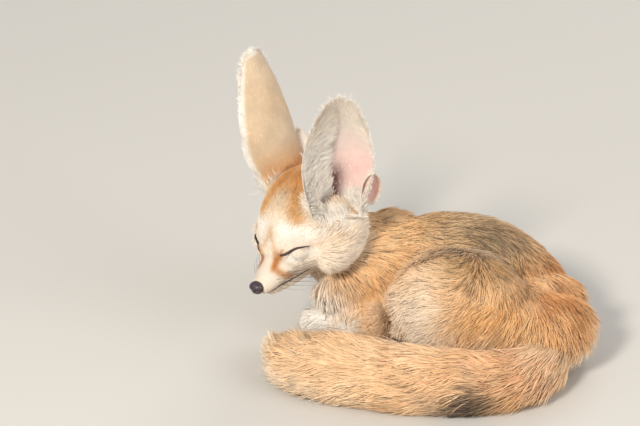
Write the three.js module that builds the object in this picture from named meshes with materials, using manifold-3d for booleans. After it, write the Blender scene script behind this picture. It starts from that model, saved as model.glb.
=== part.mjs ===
// A fennec fox dozing in a curl on the ground, life size, in millimetres, +Z up.
// The head is at -X and looks towards -Y, the back is at +Y, the rump at +X, and the tail lies along -Y.
import * as THREE from "three";
import { mergeVertices } from "three/addons/utils/BufferGeometryUtils.js";
import Module from "manifold-3d";

const wasm = await Module();
wasm.setup();

// Driving dimensions
const bodyLength = 150; // chest to rump, along the curl's chord
const seam = 0.35; // gap between touching parts
const k = bodyLength / 150; // every size below scales with the body

const vec = (x, y, z) => new THREE.Vector3(x, y, z);
const smooth = (points) => new THREE.CatmullRomCurve3(points, false, "catmullrom");
const toRadians = THREE.MathUtils.degToRad;

// Colours of the coat, read by eye
const coatColours = {
  sand: 0xd9a566,
  cream: 0xf0dcbc,
  white: 0xf7f1e6,
  black: 0x2b2320,
};

// A closed THREE geometry as a manifold solid.
function solidOf(geometry) {
  geometry.deleteAttribute("normal");
  geometry.deleteAttribute("uv");
  const merged = mergeVertices(geometry, 1e-4);
  return new wasm.Manifold(
    new wasm.Mesh({
      numProp: 3,
      vertProperties: merged.attributes.position.array,
      triVerts: new Uint32Array(merged.index.array),
    }),
  );
}

// A grid of points, rows by columns, closed round the columns, with a pole at each end.
function closedGrid(rows, firstPole, lastPole) {
  const columns = rows[0].length;
  const points = [firstPole, ...rows.flat(), lastPole];
  const faces = [];
  const at = (row, column) => 1 + row * columns + (column % columns);
  for (let c = 0; c < columns; c++) {
    faces.push(0, at(0, c + 1), at(0, c));
    faces.push(points.length - 1, at(rows.length - 1, c), at(rows.length - 1, c + 1));
  }
  for (let r = 0; r < rows.length - 1; r++)
    for (let c = 0; c < columns; c++) {
      faces.push(at(r, c), at(r, c + 1), at(r + 1, c));
      faces.push(at(r, c + 1), at(r + 1, c + 1), at(r + 1, c));
    }
  const geometry = new THREE.BufferGeometry().setFromPoints(points);
  geometry.setIndex(faces);
  return geometry;
}

// A smooth line through stations, and the oval section it carries. A station is
// [x, y, z, half width, half height], and may add a roll in degrees and a pear share,
// by which the upper half is narrower and the lower half wider. Past its ends it runs straight.
function lineOf(stations) {
  const centres = smooth(stations.map((s) => vec(s[0], s[1], s[2]).multiplyScalar(k)));
  const sizes = smooth(stations.map((s) => vec(s[3] * k, s[4] * k, s[5] ?? 0)));
  const pears = smooth(stations.map((s) => vec(s[6] ?? 0, 0, 0)));
  const span = centres.getLength();
  return (share) => {
    const t = THREE.MathUtils.clamp(share, 0, 1);
    const along = centres.getTangent(t);
    const size = sizes.getPoint(t);
    const across = vec(0, 0, 1).cross(along).normalize();
    across.applyAxisAngle(along, toRadians(size.z));
    const up = along.clone().cross(across);
    return {
      centre: centres.getPoint(t).addScaledVector(along, (share - t) * span),
      along, across, up, wide: size.x, high: size.y, pear: pears.getPoint(t).x,
    };
  };
}

// The point of a section at an angle from its left side round over the top, in radians.
function onSection({ centre, across, up, wide, high, pear }, angle, grow = 0, share = 1) {
  const aside = (wide + grow) * Math.cos(angle) * (1 - pear * Math.sin(angle)) * share;
  const above = (high + grow) * Math.sin(angle) * share;
  return centre.clone().addScaledVector(across, aside).addScaledVector(up, above);
}

// A rounded body along a line of stations. Both ends close as half domes of the given
// reach, and grow adds to every radius.
function loft(stations, { rings, sides, startDome, endDome, domeRings = 3, grow = 0 }) {
  const line = lineOf(stations);
  const steps = [];
  for (let i = domeRings; i > 0; i--)
    steps.push({ t: 0, lean: (i / (domeRings + 1)) * 90, reach: -startDome * k - grow });
  for (let i = 0; i <= rings; i++) steps.push({ t: i / rings, lean: 0, reach: 0 });
  for (let i = 1; i <= domeRings; i++)
    steps.push({ t: 1, lean: (i / (domeRings + 1)) * 90, reach: endDome * k + grow });
  const rows = steps.map(({ t, lean, reach }) => {
    const section = line(t);
    section.centre.addScaledVector(section.along, reach * Math.sin(toRadians(lean)));
    const share = Math.cos(toRadians(lean));
    return Array.from({ length: sides }, (_, c) =>
      onSection(section, (2 * Math.PI * c) / sides, grow, share),
    );
  });
  const pole = (t, reach) => line(t).centre.addScaledVector(line(t).along, reach);
  const poles = [pole(0, -startDome * k - grow), pole(1, endDome * k + grow)];
  return solidOf(closedGrid(rows, ...poles));
}

// An egg: a sphere stretched to three half sizes.
function egg(centre, half, sides = 16, grow = 0) {
  const geometry = new THREE.SphereGeometry(1, sides, Math.round(sides * 0.7));
  geometry.scale(half[0] * k + grow, half[1] * k + grow, half[2] * k + grow);
  geometry.translate(centre[0] * k, centre[1] * k, centre[2] * k);
  return solidOf(geometry);
}

const join = (solids) => wasm.Manifold.union(solids);

// A seeded draw between -1 and 1, so that the locks vary in the same way each time.
function drawer(seed) {
  let state = seed;
  return () => {
    state = (state * 16807) % 2147483647;
    return (state / 2147483647) * 2 - 1;
  };
}

// A lock of long coat, flat and tapered, laid over a form. place(u, v, share) is a point of the
// form swollen by share; the lock runs from one (u, v) to another while its share rises from
// its root inside the core to its tip, so that it bends with what it grows on.
const lockRings = [[0, 0.75, 0.9], [0.36, 1, 1], [0.74, 0.68, 0.75]]; // along, width, thickness
const lockCorners = [-30, 90, 210].map(toRadians);
function lock(place, { from, to, wide, thick, rootShare, tipShare }, grow) {
  const at = (s, swell = 0) => {
    const u = from[0] + (to[0] - from[0]) * s;
    const v = from[1] + (to[1] - from[1]) * s;
    return place(u, v, rootShare + (tipShare - rootShare) * (1 - (1 - s) ** 2) + swell);
  };
  const wayAt = (s) => at(s + 0.04).sub(at(s - 0.04)).normalize();
  const rings = grow ? [...lockRings, [0.98, 0, 0]] : lockRings; // a grown lock stays blunt
  const rows = rings.map(([s, width, height]) => {
    const way = wayAt(s);
    const out = at(s, 0.05).sub(at(s));
    const side = out.cross(way).normalize();
    const lift = way.clone().cross(side);
    return lockCorners.map((angle) =>
      at(s)
        .addScaledVector(side, ((wide * k * width) / 2 + 6 * grow) * Math.cos(angle))
        .addScaledVector(lift, ((thick * k * height) / 2 + 2 * grow) * Math.sin(angle)),
    );
  });
  const root = at(0).addScaledVector(wayAt(0), -2 * k - grow);
  const tip = at(0.98).addScaledVector(wayAt(0.98), grow);
  const sections = [[root], ...rows, [tip]].map((points) => points.map((p) => p.toArray()));
  const lengths = sections.slice(1).map((section, i) => [...sections[i], ...section]);
  return join(lengths.map((points) => wasm.Manifold.hull(points)));
}

// A point of an egg for the locks: round and up it, in degrees.
const onEgg = ({ at, half }) => (round, rise, share) =>
  vec(
    at[0] + half[0] * share * Math.cos(toRadians(round)) * Math.cos(toRadians(rise)),
    at[1] + half[1] * share * Math.sin(toRadians(round)) * Math.cos(toRadians(rise)),
    at[2] + half[2] * share * Math.sin(toRadians(rise)),
  ).multiplyScalar(k);

// Torso: a barrel from the chest at -X round the back at +Y, and the rump at +X.
const barrel = {
  stations: [
    [-72, 10, 33, 17, 25],
    [-58, 17, 38, 28, 36],
    [-36, 26, 41, 36, 42],
    [-5, 33, 42, 41, 44],
    [26, 30, 41, 43, 43],
    [50, 18, 36, 37, 38],
    [63, 5, 29, 32, 31],
  ],
  shape: { rings: 12, sides: 20, startDome: 14, endDome: 12 },
};
const rump = { at: [63, -15, 28], half: [40, 42, 32], sides: 18 };
// Long hair round the rump: rows of locks that lie down and forward to the tail's root.
const fringe = {
  seed: 11,
  rows: [
    { rise: 36, from: -72, to: 48, count: 5 },
    { rise: 13, from: -84, to: 44, count: 6 },
  ],
  sweep: -24, drop: -42, wide: 22, thick: 5.5, rootShare: 0.86, tipShare: 1.09,
};
function locksOnRump(grow) {
  const draw = drawer(fringe.seed);
  return fringe.rows.flatMap(({ rise, from, to, count }) =>
    Array.from({ length: count }, (_, i) => {
      const round = from + ((to - from) * i) / (count - 1) + 3 * draw();
      const start = [round, rise + 5 * draw()];
      const end = [round + fringe.sweep + 5 * draw(), rise + fringe.drop + 5 * draw()];
      return lock(onEgg(rump), { ...fringe, from: start, to: end }, grow);
    }),
  );
}
const torso = (grow) =>
  join([
    loft(barrel.stations, { ...barrel.shape, grow }),
    egg(rump.at, rump.half, rump.sides, grow),
    ...locksOnRump(grow),
  ]);

// Left thigh: a big oval on the near side, its top leaning back on the torso.
const thigh = {
  stations: [
    [-23, -15, 41, 15, 24, -24],
    [-8, -16, 43, 22, 36, -24],
    [16, -20, 44, 26, 40, -24],
    [36, -28, 40, 24, 35, -20],
  ],
  shape: { rings: 8, sides: 17, startDome: 10, endDome: 18 },
};
const thighLeft = (grow) => loft(thigh.stations, { ...thigh.shape, grow });

// Ears: a sheet wrapped round its own axis, a tube at the root and an open cup above.
const ear = {
  thick: 3,
  bow: 8, // how far the middle of the back stands behind the line from root to tip
  rowCount: 11,
  columnCount: 9,
  // share of the length, half the girth of the sheet, half the wrap in degrees
  rows: [
    [0, 24, 140],
    [0.1, 27, 120],
    [0.2, 30, 95],
    [0.32, 31.5, 76],
    [0.46, 30, 66],
    [0.6, 26, 58],
    [0.72, 21.5, 50],
    [0.82, 16.5, 44],
    [0.9, 11.5, 38],
    [0.96, 7, 32],
    [1, 3, 28],
  ],
  // root and tip of each ear, the way its cup faces, and the side of its sheet that is outermost
  poses: {
    left: { root: [-70, 3, 107], tip: [-63, -32, 198], facing: [0.22, -0.95, 0.2], outer: -1 },
    right: { root: [-91, 31, 104], tip: [-120.5, 42, 199], facing: [-0.8, 0.6, 0], outer: 1 },
  },
};

// The hollow of the ear's root in the head, in the ear's own frame.
const earHollow = { at: [0, 9, 12], half: [10, 8, 20] };

// An ear's own frame: across, to the front, and along its axis from the root.
function earFrame(side) {
  const pose = ear.poses[side];
  const root = vec(...pose.root).multiplyScalar(k);
  const axis = vec(...pose.tip).multiplyScalar(k).sub(root);
  const length = axis.length();
  axis.normalize();
  const front = vec(...pose.facing);
  front.addScaledVector(axis, -front.dot(axis)).normalize();
  const frame = new THREE.Matrix4().makeBasis(front.clone().cross(axis), front, axis);
  return { frame: frame.setPosition(root), length, outer: pose.outer };
}

// Head, in its own frame: forward, left and up from the point between the eyes.
const headTurn = { yaw: 52, pitch: -22, roll: 6 };
const eyesAt = vec(-106, -8, 82).multiplyScalar(k);
function headMatrix() {
  const yaw = toRadians(headTurn.yaw);
  const pitch = toRadians(headTurn.pitch);
  const forward = vec(
    -Math.cos(pitch) * Math.cos(yaw),
    -Math.cos(pitch) * Math.sin(yaw),
    Math.sin(pitch),
  );
  const left = vec(0, 0, 1).cross(forward).normalize();
  left.applyAxisAngle(forward, toRadians(headTurn.roll));
  const up = forward.clone().cross(left);
  return new THREE.Matrix4().makeBasis(forward, left, up).setPosition(eyesAt);
}
const headFrame = headMatrix();
const inHead = (solid) => solid.transform(headFrame.toArray());

// Stations run from front to back on the skull, and from the brow to the nose on the muzzle.
const skull = {
  stations: [
    [2, 0, -8, 20, 18, 0, 0.1],
    [-10, 0, -5, 29, 27, 0, 0.14],
    [-26, 0, -2, 35, 33, 0, 0.16],
    [-43, 0, -2, 35, 33, 0, 0.14],
    [-58, 0, -5, 26, 26, 0, 0.08],
  ],
  shape: { rings: 8, sides: 20, startDome: 12, endDome: 14 },
};
const muzzle = {
  stations: [
    [-6, 0, -11, 19, 17, 0, 0.1],
    [6, 0, -12, 14.5, 12.5, 0, 0.12],
    [15, 0, -12.5, 11.5, 9, 0, 0.12],
    [23, 0, -13.3, 8.8, 7, 0, 0.1],
    [27, 0, -13, 6.8, 5.6, 0, 0.06],
  ],
  shape: { rings: 7, sides: 16, startDome: 6, endDome: 3, domeRings: 2 },
};
const jaw = {
  stations: [
    [-22, 0, -24, 17, 12],
    [-2, 0, -24, 11.5, 6.5],
    [12, 0, -22.8, 8, 4],
    [20, 0, -20.8, 5.2, 3],
  ],
  shape: { rings: 5, sides: 12, startDome: 6, endDome: 3.4, domeRings: 2 },
};
const cheek = { at: [-28, 24, -14], half: [27, 18, 21], sides: 14 };
// Cheek ruff: two rows of locks on each cheek that lie back and down.
const ruff = {
  seed: 5,
  rows: [
    { round: 84, from: -40, to: 26, count: 3 },
    { round: 120, from: -46, to: 34, count: 4 },
  ],
  sweep: 46, drop: -16, wide: 17, thick: 4.4, rootShare: 0.84, tipShare: 1.13,
};
function locksOnCheek(side, grow) {
  const draw = drawer(ruff.seed);
  return ruff.rows.flatMap(({ round, from, to, count }) =>
    Array.from({ length: count }, (_, i) => {
      const rise = from + ((to - from) * i) / (count - 1) + 4 * draw();
      const start = [round + 5 * draw(), rise];
      const end = [round + ruff.sweep + 6 * draw(), rise + ruff.drop + 5 * draw()];
      const made = lock(onEgg(cheek), { ...ruff, from: start, to: end }, grow);
      return side > 0 ? made : made.mirror([0, 1, 0]);
    }),
  );
}

// Mouth: from under the nose back to its corner, as shares of the muzzle and degrees below its side.
const mouth = {
  course: [[1.0, 86], [0.92, 66], [0.78, 54], [0.55, 46], [0.3, 38], [0.08, 30]],
  lip: 1.2,
  lipRise: 9,
  groove: 0.8,
};
function alongMouth(side, rise, radius) {
  const line = lineOf(muzzle.stations);
  const stations = mouth.course.map(([t, below]) => {
    const angle = -toRadians(below - rise);
    const point = onSection(line(t), side > 0 ? angle : Math.PI - angle);
    return [point.x / k, point.y / k, point.z / k, radius, radius];
  });
  return loft(stations, { rings: 6, sides: 5, startDome: radius, endDome: radius, domeRings: 1 });
}
const headShape = (grow) => {
  const bodies = [
    loft(skull.stations, { ...skull.shape, grow }),
    loft(muzzle.stations, { ...muzzle.shape, grow }),
    loft(jaw.stations, { ...jaw.shape, grow }),
    ...[1, -1].map((side) =>
      egg([cheek.at[0], cheek.at[1] * side, cheek.at[2]], cheek.half, cheek.sides, grow),
    ),
    ...locksOnCheek(1, grow),
    ...locksOnCheek(-1, grow),
  ];
  const scoops = ["left", "right"].map((side) =>
    egg(earHollow.at, earHollow.half, 9, -grow).transform(earFrame(side).frame.toArray()),
  );
  if (grow) return inHead(join(bodies)).subtract(join(scoops));
  const lips = [1, -1].map((side) => alongMouth(side, mouth.lipRise, mouth.lip));
  const grooves = [1, -1].map((side) => alongMouth(side, 0, mouth.groove));
  return inHead(join([...bodies, ...lips]).subtract(join(grooves))).subtract(join(scoops));
};

// Nose pad at the muzzle's tip, with a nostril and its side slit on each side.
const nose = { at: [30.5, 0, -11], half: [4.5, 5.6, 4.6] };
const nostril = { at: [34, 2.4, -11.2], half: [2, 1.2, 1.1] };
const nostrilSlit = { at: [32.4, 5, -12], half: [2.2, 1.4, 0.7] };
const noseShape = (grow) => {
  const pad = egg(nose.at, nose.half, 11, grow);
  if (grow) return inHead(pad);
  const holes = [1, -1].flatMap((side) =>
    [nostril, nostrilSlit].map(({ at, half }) => egg([at[0], at[1] * side, at[2]], half, 6)),
  );
  return inHead(pad.subtract(join(holes)));
};

// Closed eyes: the lids bulge over the eyeball, the upper one overlapping the lower.
const eye = { at: [-4, 17, -2.5], half: [10, 7, 7], sides: 11, lidEdge: 0.9, slitDrop: 1.5 };
const eyeShape = (side) => (grow) => {
  const at = [eye.at[0], eye.at[1] * side, eye.at[2]];
  const lower = egg(at, eye.half, eye.sides, grow);
  const upper = egg(at, eye.half.map((half) => half + eye.lidEdge), eye.sides, grow);
  const slitAt = (at[2] - eye.slitDrop) * k;
  return inHead(join([lower, upper.trimByPlane([0, 0, 1], slitAt - grow)]));
};

// A small fold of skin, hollow to the front, low on the ear's outer margin.
const pocket = {
  at: [20, 9, 15], half: [8.5, 4.2, 12], hollowAt: [20.6, 12.2, 17], hollow: [6, 3, 9],
};

// The sheet in the ear's own frame: across, to the front, and along its axis.
function earSheet(length, grow) {
  const girths = smooth(ear.rows.map((row) => vec(row[0], row[1] * k, row[2])));
  const behind = (share) => -ear.bow * k * Math.sin(Math.PI * share);
  const faceOf = (face) =>
    Array.from({ length: ear.rowCount + 1 }, (_, i) => {
      const row = girths.getPoint(i / ear.rowCount);
      const wrap = toRadians(row.z);
      const radius = row.y / wrap;
      return Array.from({ length: ear.columnCount + 1 }, (_, j) => {
        const s = (2 * j) / ear.columnCount - 1;
        const half = (ear.thick * k * (1 - 0.6 * Math.abs(s) ** 3)) / 2 + grow;
        const r = radius + face * half;
        const ahead = radius - r * Math.cos(s * wrap) + behind(row.x);
        return vec(r * Math.sin(s * wrap), ahead, row.x * length);
      });
    });
  const [outside, inside] = [faceOf(1), faceOf(-1)];
  return sheetSolid(outside.map((line, i) => [...line, ...inside[i].reverse()]));
}

// A ring grid whose ends are closed by flat strips between the two faces of the sheet.
function sheetSolid(rows) {
  const columns = rows[0].length;
  const at = (row, column) => row * columns + (column % columns);
  const faces = [];
  for (let r = 0; r < rows.length - 1; r++)
    for (let c = 0; c < columns; c++) {
      faces.push(at(r, c), at(r, c + 1), at(r + 1, c));
      faces.push(at(r, c + 1), at(r + 1, c + 1), at(r + 1, c));
    }
  const last = rows.length - 1;
  for (let c = 0; c < columns / 2 - 1; c++) {
    const d = columns - 1 - c;
    faces.push(at(0, c), at(0, d), at(0, c + 1));
    faces.push(at(0, c + 1), at(0, d), at(0, d - 1));
    faces.push(at(last, c), at(last, c + 1), at(last, d));
    faces.push(at(last, c + 1), at(last, d - 1), at(last, d));
  }
  const geometry = new THREE.BufferGeometry().setFromPoints(rows.flat());
  geometry.setIndex(faces);
  return solidOf(geometry);
}

const earShape = (side) => (grow) => {
  const { frame, length, outer } = earFrame(side);
  const outward = ([x, y, z]) => [x * outer, y, z];
  const fold = egg(outward(pocket.at), pocket.half, 9, grow);
  const hollow = egg(outward(pocket.hollowAt), pocket.hollow, 8, 0);
  return join([earSheet(length, grow), fold.subtract(hollow)]).transform(frame.toArray());
};

// Limbs and neck, each a loft along its stations.
const limbs = {
  neck: {
    stations: [
      [-40, 28, 42, 30, 29],
      [-58, 32, 56, 32, 32],
      [-75, 35, 67, 29, 31],
      [-90, 34, 76, 23, 25],
    ],
    shape: { rings: 7, sides: 18, startDome: 8, endDome: 8 },
  },
  forelegLeft: {
    stations: [
      [-38, -4, 24, 17, 18],
      [-54, 2, 21, 14, 13.5],
      [-70, 6, 20, 11.5, 11],
      [-84, 8, 18.5, 10.5, 11],
    ],
    shape: { rings: 6, sides: 12, startDome: 10, endDome: 9 },
  },
  forepawLeft: {
    stations: [
      [-84, 7, 7, 10.5, 8],
      [-74, 5, 6.5, 11, 7],
      [-64, 2, 6, 10.5, 6.5],
    ],
    shape: { rings: 3, sides: 9, startDome: 6, endDome: 5, domeRings: 1 },
    toes: { at: [-58, 0.5, 5.5], way: [1, -0.3, 0], spread: 4.6 },
  },
  forelegRight: {
    stations: [
      [-34, 52, 26, 15, 18],
      [-50, 50, 19, 12, 13],
      [-64, 45, 14, 10, 10],
    ],
    shape: { rings: 6, sides: 12, startDome: 10, endDome: 5 },
  },
  forepawRight: {
    stations: [
      [-62, 45, 7, 9.5, 8],
      [-70, 43, 6, 10.5, 7.5],
      [-76, 41, 5.5, 9.5, 6.5],
    ],
    shape: { rings: 3, sides: 9, startDome: 4, endDome: 5, domeRings: 1 },
    toes: { at: [-83, 38.5, 5], way: [-1, -0.3, 0], spread: 4.6 },
  },
  hindfootLeft: {
    stations: [
      [40, -50, 9, 9, 10],
      [14, -50, 7, 8, 8],
      [-14, -45, 6, 8.5, 7],
      [-22, -43, 5.5, 9, 6.5],
    ],
    shape: { rings: 4, sides: 9, startDome: 6, endDome: 5, domeRings: 1 },
    toes: { at: [-29, -41.5, 5], way: [-1, 0.2, 0], spread: 4.4 },
  },
  hindlegRight: {
    stations: [
      [6, -34, 7, 10, 9],
      [-16, -28, 7, 9, 8],
      [-32, -23, 6, 9.5, 7],
      [-38, -21, 5.5, 9, 6.5],
    ],
    shape: { rings: 4, sides: 9, startDome: 6, endDome: 5, domeRings: 1 },
    toes: { at: [-45, -19, 5], way: [-1, 0.3, 0], spread: 4.4 },
  },
};
const toeHalf = [6, 3.3, 4.6];
function toesOf({ at, way, spread }, grow) {
  const ahead = vec(...way).normalize();
  const aside = vec(-ahead.y, ahead.x, 0);
  return [-1.5, -0.5, 0.5, 1.5].map((place) => {
    const toe = egg([0, 0, 0], toeHalf, 6, grow);
    const turn = (Math.atan2(ahead.y, ahead.x) * 180) / Math.PI;
    const back = 1.4 * place * place; // the outer toes stand further back
    const centre = vec(...at).addScaledVector(aside, place * spread).addScaledVector(ahead, -back);
    return toe.rotate([0, 0, turn]).translate(centre.multiplyScalar(k).toArray());
  });
}
const limb = (name) => (grow) => {
  const { stations, shape, toes } = limbs[name];
  const body = loft(stations, { ...shape, grow });
  return toes ? join([body, ...toesOf(toes, grow)]) : body;
};

// Tail: from the buttock along the near side, bent back at its end with the tip tucked in.
const tailStations = [
  [74, -34, 24, 16, 16],
  [62, -54, 21, 18, 18],
  [44, -68, 19.5, 19.5, 19.5],
  [18, -77, 19.5, 20.5, 20.5],
  [-16, -78, 20, 21, 21],
  [-50, -70, 20, 21.5, 21],
  [-78, -53, 19, 21, 20],
  [-93, -38, 15, 14, 15],
  [-86, -23, 11, 11, 11],
  [-70, -19, 8.5, 6, 8],
];
// The brush: a core on the ground, half as wide as the brush, and rings of locks from it out to
// the brush's full section, each ring half a place on. None lies under the core.
const brush = {
  seed: 63, rings: 9, around: 7, core: 0.5, settle: 0.8, reach: 0.2, twist: 9, underside: -0.75,
  wide: 22, thick: 6, rootShare: 0.4, tipShare: 0.93,
};
const brushLine = lineOf(tailStations);
const coreDrop = (height) => height * (1 - brush.core) - (brush.settle * k) / 2;
function onBrush(t, angle, share) {
  const section = brushLine(t);
  const inward = (1 - share) / (1 - brush.core);
  section.centre.z -= coreDrop(section.high) * Math.min(inward, 1);
  return onSection(section, toRadians(angle), 0, share);
}
// A length of the tail from one share of its course to the next.
const tailLength = (from, to) => (grow) => {
  const core = [0, 1, 2, 3, 4].map((step) => {
    const { centre, wide, high } = brushLine(from + ((to - from) * step) / 4);
    const z = centre.z - coreDrop(high);
    return [centre.x, centre.y, z, wide * brush.core, high * brush.core].map((size) => size / k);
  });
  const draw = drawer(brush.seed);
  const locks = [];
  for (let i = 0; i < brush.rings; i++)
    for (let j = 0; j < brush.around; j++) {
      const t = 0.01 + (0.98 - brush.reach) * (i / (brush.rings - 1)) + 0.006 * draw();
      const angle = ((j + (i % 2) / 2) * 360) / brush.around + 5 * draw();
      const end = [t + brush.reach * (1 + 0.05 * draw()), angle + brush.twist * draw()];
      const tipShare = brush.tipShare + 0.06 * draw();
      if (t < from || t >= to || Math.sin(toRadians(angle)) < brush.underside) continue;
      locks.push(lock(onBrush, { ...brush, tipShare, from: [t, angle], to: end }, grow));
    }
  const shape = { rings: 6, sides: 10, startDome: 2, endDome: 2, domeRings: 1 };
  return join([loft(core, { ...shape, grow }), ...locks]);
};

// Every part in order: each is cut back by those before it, grown by the seam.
const parts = [
  ["torso", torso, "sand"],
  ["thigh_left", thighLeft, "cream"],
  ["nose", noseShape, "black"],
  ["eye_left", eyeShape(1), "cream"],
  ["eye_right", eyeShape(-1), "cream"],
  ["head", headShape, "cream"],
  ["ear_left", earShape("left"), "sand"],
  ["ear_right", earShape("right"), "sand"],
  ["neck", limb("neck"), "sand"],
  ["foreleg_left", limb("forelegLeft"), "white"],
  ["forepaw_left", limb("forepawLeft"), "white"],
  ["foreleg_right", limb("forelegRight"), "white"],
  ["forepaw_right", limb("forepawRight"), "white"],
  ["hindfoot_left", limb("hindfootLeft"), "cream"],
  ["hindleg_right", limb("hindlegRight"), "cream"],
  ["tail_tip", tailLength(0.68, 1), "black"],
  ["tail_middle", tailLength(0.38, 0.68), "sand"],
  ["tail_root", tailLength(0, 0.38), "sand"],
];

// The largest closed surface of a solid, without hollows that have no way out.
const largest = (solid) =>
  solid.decompose().reduce((best, piece) => (piece.volume() > best.volume() ? piece : best));
const finest = 0.05; // details below this are smoothed away

const fox = new THREE.Group();
const before = [];
for (const [name, shape, colour] of parts) {
  let solid = largest(shape(0)).trimByPlane([0, 0, 1], 0);
  if (before.length) solid = solid.subtract(join(before));
  before.push(largest(shape(seam)));
  const mesh = largest(largest(solid).simplify(finest)).getMesh();
  const geometry = new THREE.BufferGeometry();
  geometry.setAttribute("position", new THREE.BufferAttribute(mesh.vertProperties, mesh.numProp));
  geometry.setIndex(new THREE.BufferAttribute(mesh.triVerts, 1));
  const material = new THREE.MeshStandardMaterial({
    color: coatColours[colour], roughness: 0.9, metalness: 0,
  });
  const node = new THREE.Mesh(geometry, material);
  node.name = name;
  fox.add(node);
}

// The origin is on the ground, under the middle of the whole fox.
const box = new THREE.Box3().setFromObject(fox, true);
const middle = box.getCenter(vec(0, 0, 0));
fox.position.set(-middle.x, -middle.y, -box.min.z);

export default fox;
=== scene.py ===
# A fennec fox dozing in a curl: skin, coat, nose, lids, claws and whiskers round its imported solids.
import math
import bpy
import numpy as np
from mathutils import Matrix
from mathutils.bvhtree import BVHTree


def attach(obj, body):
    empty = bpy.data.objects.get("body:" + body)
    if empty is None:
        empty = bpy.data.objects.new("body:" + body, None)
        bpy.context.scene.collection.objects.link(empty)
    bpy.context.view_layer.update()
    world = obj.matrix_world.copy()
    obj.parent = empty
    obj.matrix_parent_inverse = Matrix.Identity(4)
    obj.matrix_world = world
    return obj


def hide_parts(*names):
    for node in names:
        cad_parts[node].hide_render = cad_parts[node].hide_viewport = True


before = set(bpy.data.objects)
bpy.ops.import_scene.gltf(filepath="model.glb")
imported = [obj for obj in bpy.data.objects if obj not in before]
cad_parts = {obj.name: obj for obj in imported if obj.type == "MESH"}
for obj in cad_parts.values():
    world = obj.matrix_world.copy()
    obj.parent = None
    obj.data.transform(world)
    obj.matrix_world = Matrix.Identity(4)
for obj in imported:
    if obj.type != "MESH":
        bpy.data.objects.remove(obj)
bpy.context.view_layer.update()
print("stage 1: the frame is in,", len(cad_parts), "nodes")

# Shapes are worked out in millimetres in the drawing's own frame; the shift and the scale put them
# in the frame's metres.
drawing = {"shift": np.array([8.964, 12.096, 0.0]), "scale": 0.001}


def toFrame(points):
    return (np.asarray(points, float) + drawing["shift"]) * drawing["scale"]


# ---- shared sums ----
def unit(vectors):
    return vectors / np.maximum(np.linalg.norm(vectors, axis=-1, keepdims=True), 1e-9)


def dots(a, b):
    return np.sum(a * b, axis=-1)


def ramp(low, high, x):
    # 0 below low, 1 above high, and a smooth step between
    s = np.clip((np.asarray(x, float) - low) / (high - low), 0, 1)
    return s * s * (3 - 2 * s)


def bump(middle, reach, x):
    # 1 at the middle, falling like a bell to a third one reach away
    return np.exp(-(((np.asarray(x, float) - middle) / reach) ** 2))


def squaresTo(points, line):
    # squared distances from every point to every point of the line
    return dots(points, points)[:, None] - 2 * points @ line.T + dots(line, line)


def nearLine(points, course, reach):
    # 1 on the curve through the course's points, falling like a bell with the distance from it
    far = squaresTo(points, curveAt(course, np.linspace(0, 1, 60)))
    return bump(0, reach, np.sqrt(np.maximum(far.min(1), 0)))


def nearestOn(points, line):
    # which of the line's points is nearest to each point, in lengths to spare memory
    made = np.empty(len(points), int)
    for start in range(0, len(points), 20000):
        some = slice(start, start + 20000)
        made[some] = np.argmin(squaresTo(points[some], line), axis=1)
    return made


def waves(points, size, seed):
    # a soft field between about -1 and 1: the sum of nine sine waves in random directions
    source = np.random.default_rng(seed)
    total = np.zeros(len(points))
    for step in range(9):
        way = unit(source.normal(size=3)) * (0.7 + 0.7 * source.random()) * 2 * np.pi / size
        total += np.sin(points @ way + source.random() * 2 * np.pi)
    return total / 3.2


def curveAt(points, t):
    # a uniform Catmull-Rom curve through the points, whose ends run on straight
    points = np.asarray(points, float)
    more = np.vstack([2 * points[0] - points[1], points, 2 * points[-1] - points[-2]])
    last = len(points) - 1
    place = np.clip(np.asarray(t, float), 0, 1) * last
    i = np.minimum(place.astype(int), last - 1)
    w = (place - i)[:, None]
    before, start, end, after = more[i], more[i + 1], more[i + 2], more[i + 3]
    slopeIn, slopeOut = (end - before) / 2, (after - start) / 2
    return (
        (2 * w**3 - 3 * w**2 + 1) * start + (w**3 - 2 * w**2 + w) * slopeIn
        + (3 * w**2 - 2 * w**3) * end + (w**3 - w**2) * slopeOut
    )


def sectionsAt(stations, t):
    # the oval sections of a loft at shares t: centre, way along, way across, way up and half sizes
    rows = np.array([list(s) + [0] * (7 - len(s)) for s in stations], float)
    t = np.asarray(t, float)
    centre = curveAt(rows[:, :3], t)
    small = 1e-4
    along = unit(curveAt(rows[:, :3], t + small) - curveAt(rows[:, :3], t - small))
    sizes = curveAt(rows[:, 3:6], t)
    pear = curveAt(rows[:, 6:7].repeat(3, 1), t)[:, 0]
    across = unit(np.cross([0, 0, 1], along))
    roll = np.radians(sizes[:, 2:3])
    across = across * np.cos(roll) + np.cross(along, across) * np.sin(roll)
    return centre, along, across, np.cross(along, across), sizes[:, 0], sizes[:, 1], pear


def closedGrid(rows, first, last):
    # faces of a grid that closes round its columns, with a pole at each end, facing outwards
    count, sides = rows.shape[:2]
    points = np.vstack([first, rows.reshape(-1, 3), last])
    grid = 1 + np.arange(count * sides).reshape(count, sides)
    after = np.roll(grid, -1, 1)
    quads = np.stack([grid[:-1], after[:-1], after[1:], grid[1:]], -1).reshape(-1, 4)
    near = np.stack([np.zeros(sides, int), after[0], grid[0]], -1)
    far = np.stack([np.full(sides, len(points) - 1), grid[-1], after[-1]], -1)
    return points, quads, np.vstack([near, far])


def trianglesOf(quads, fans):
    return np.vstack([quads[:, [0, 1, 2]], quads[:, [0, 2, 3]], fans])


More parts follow.
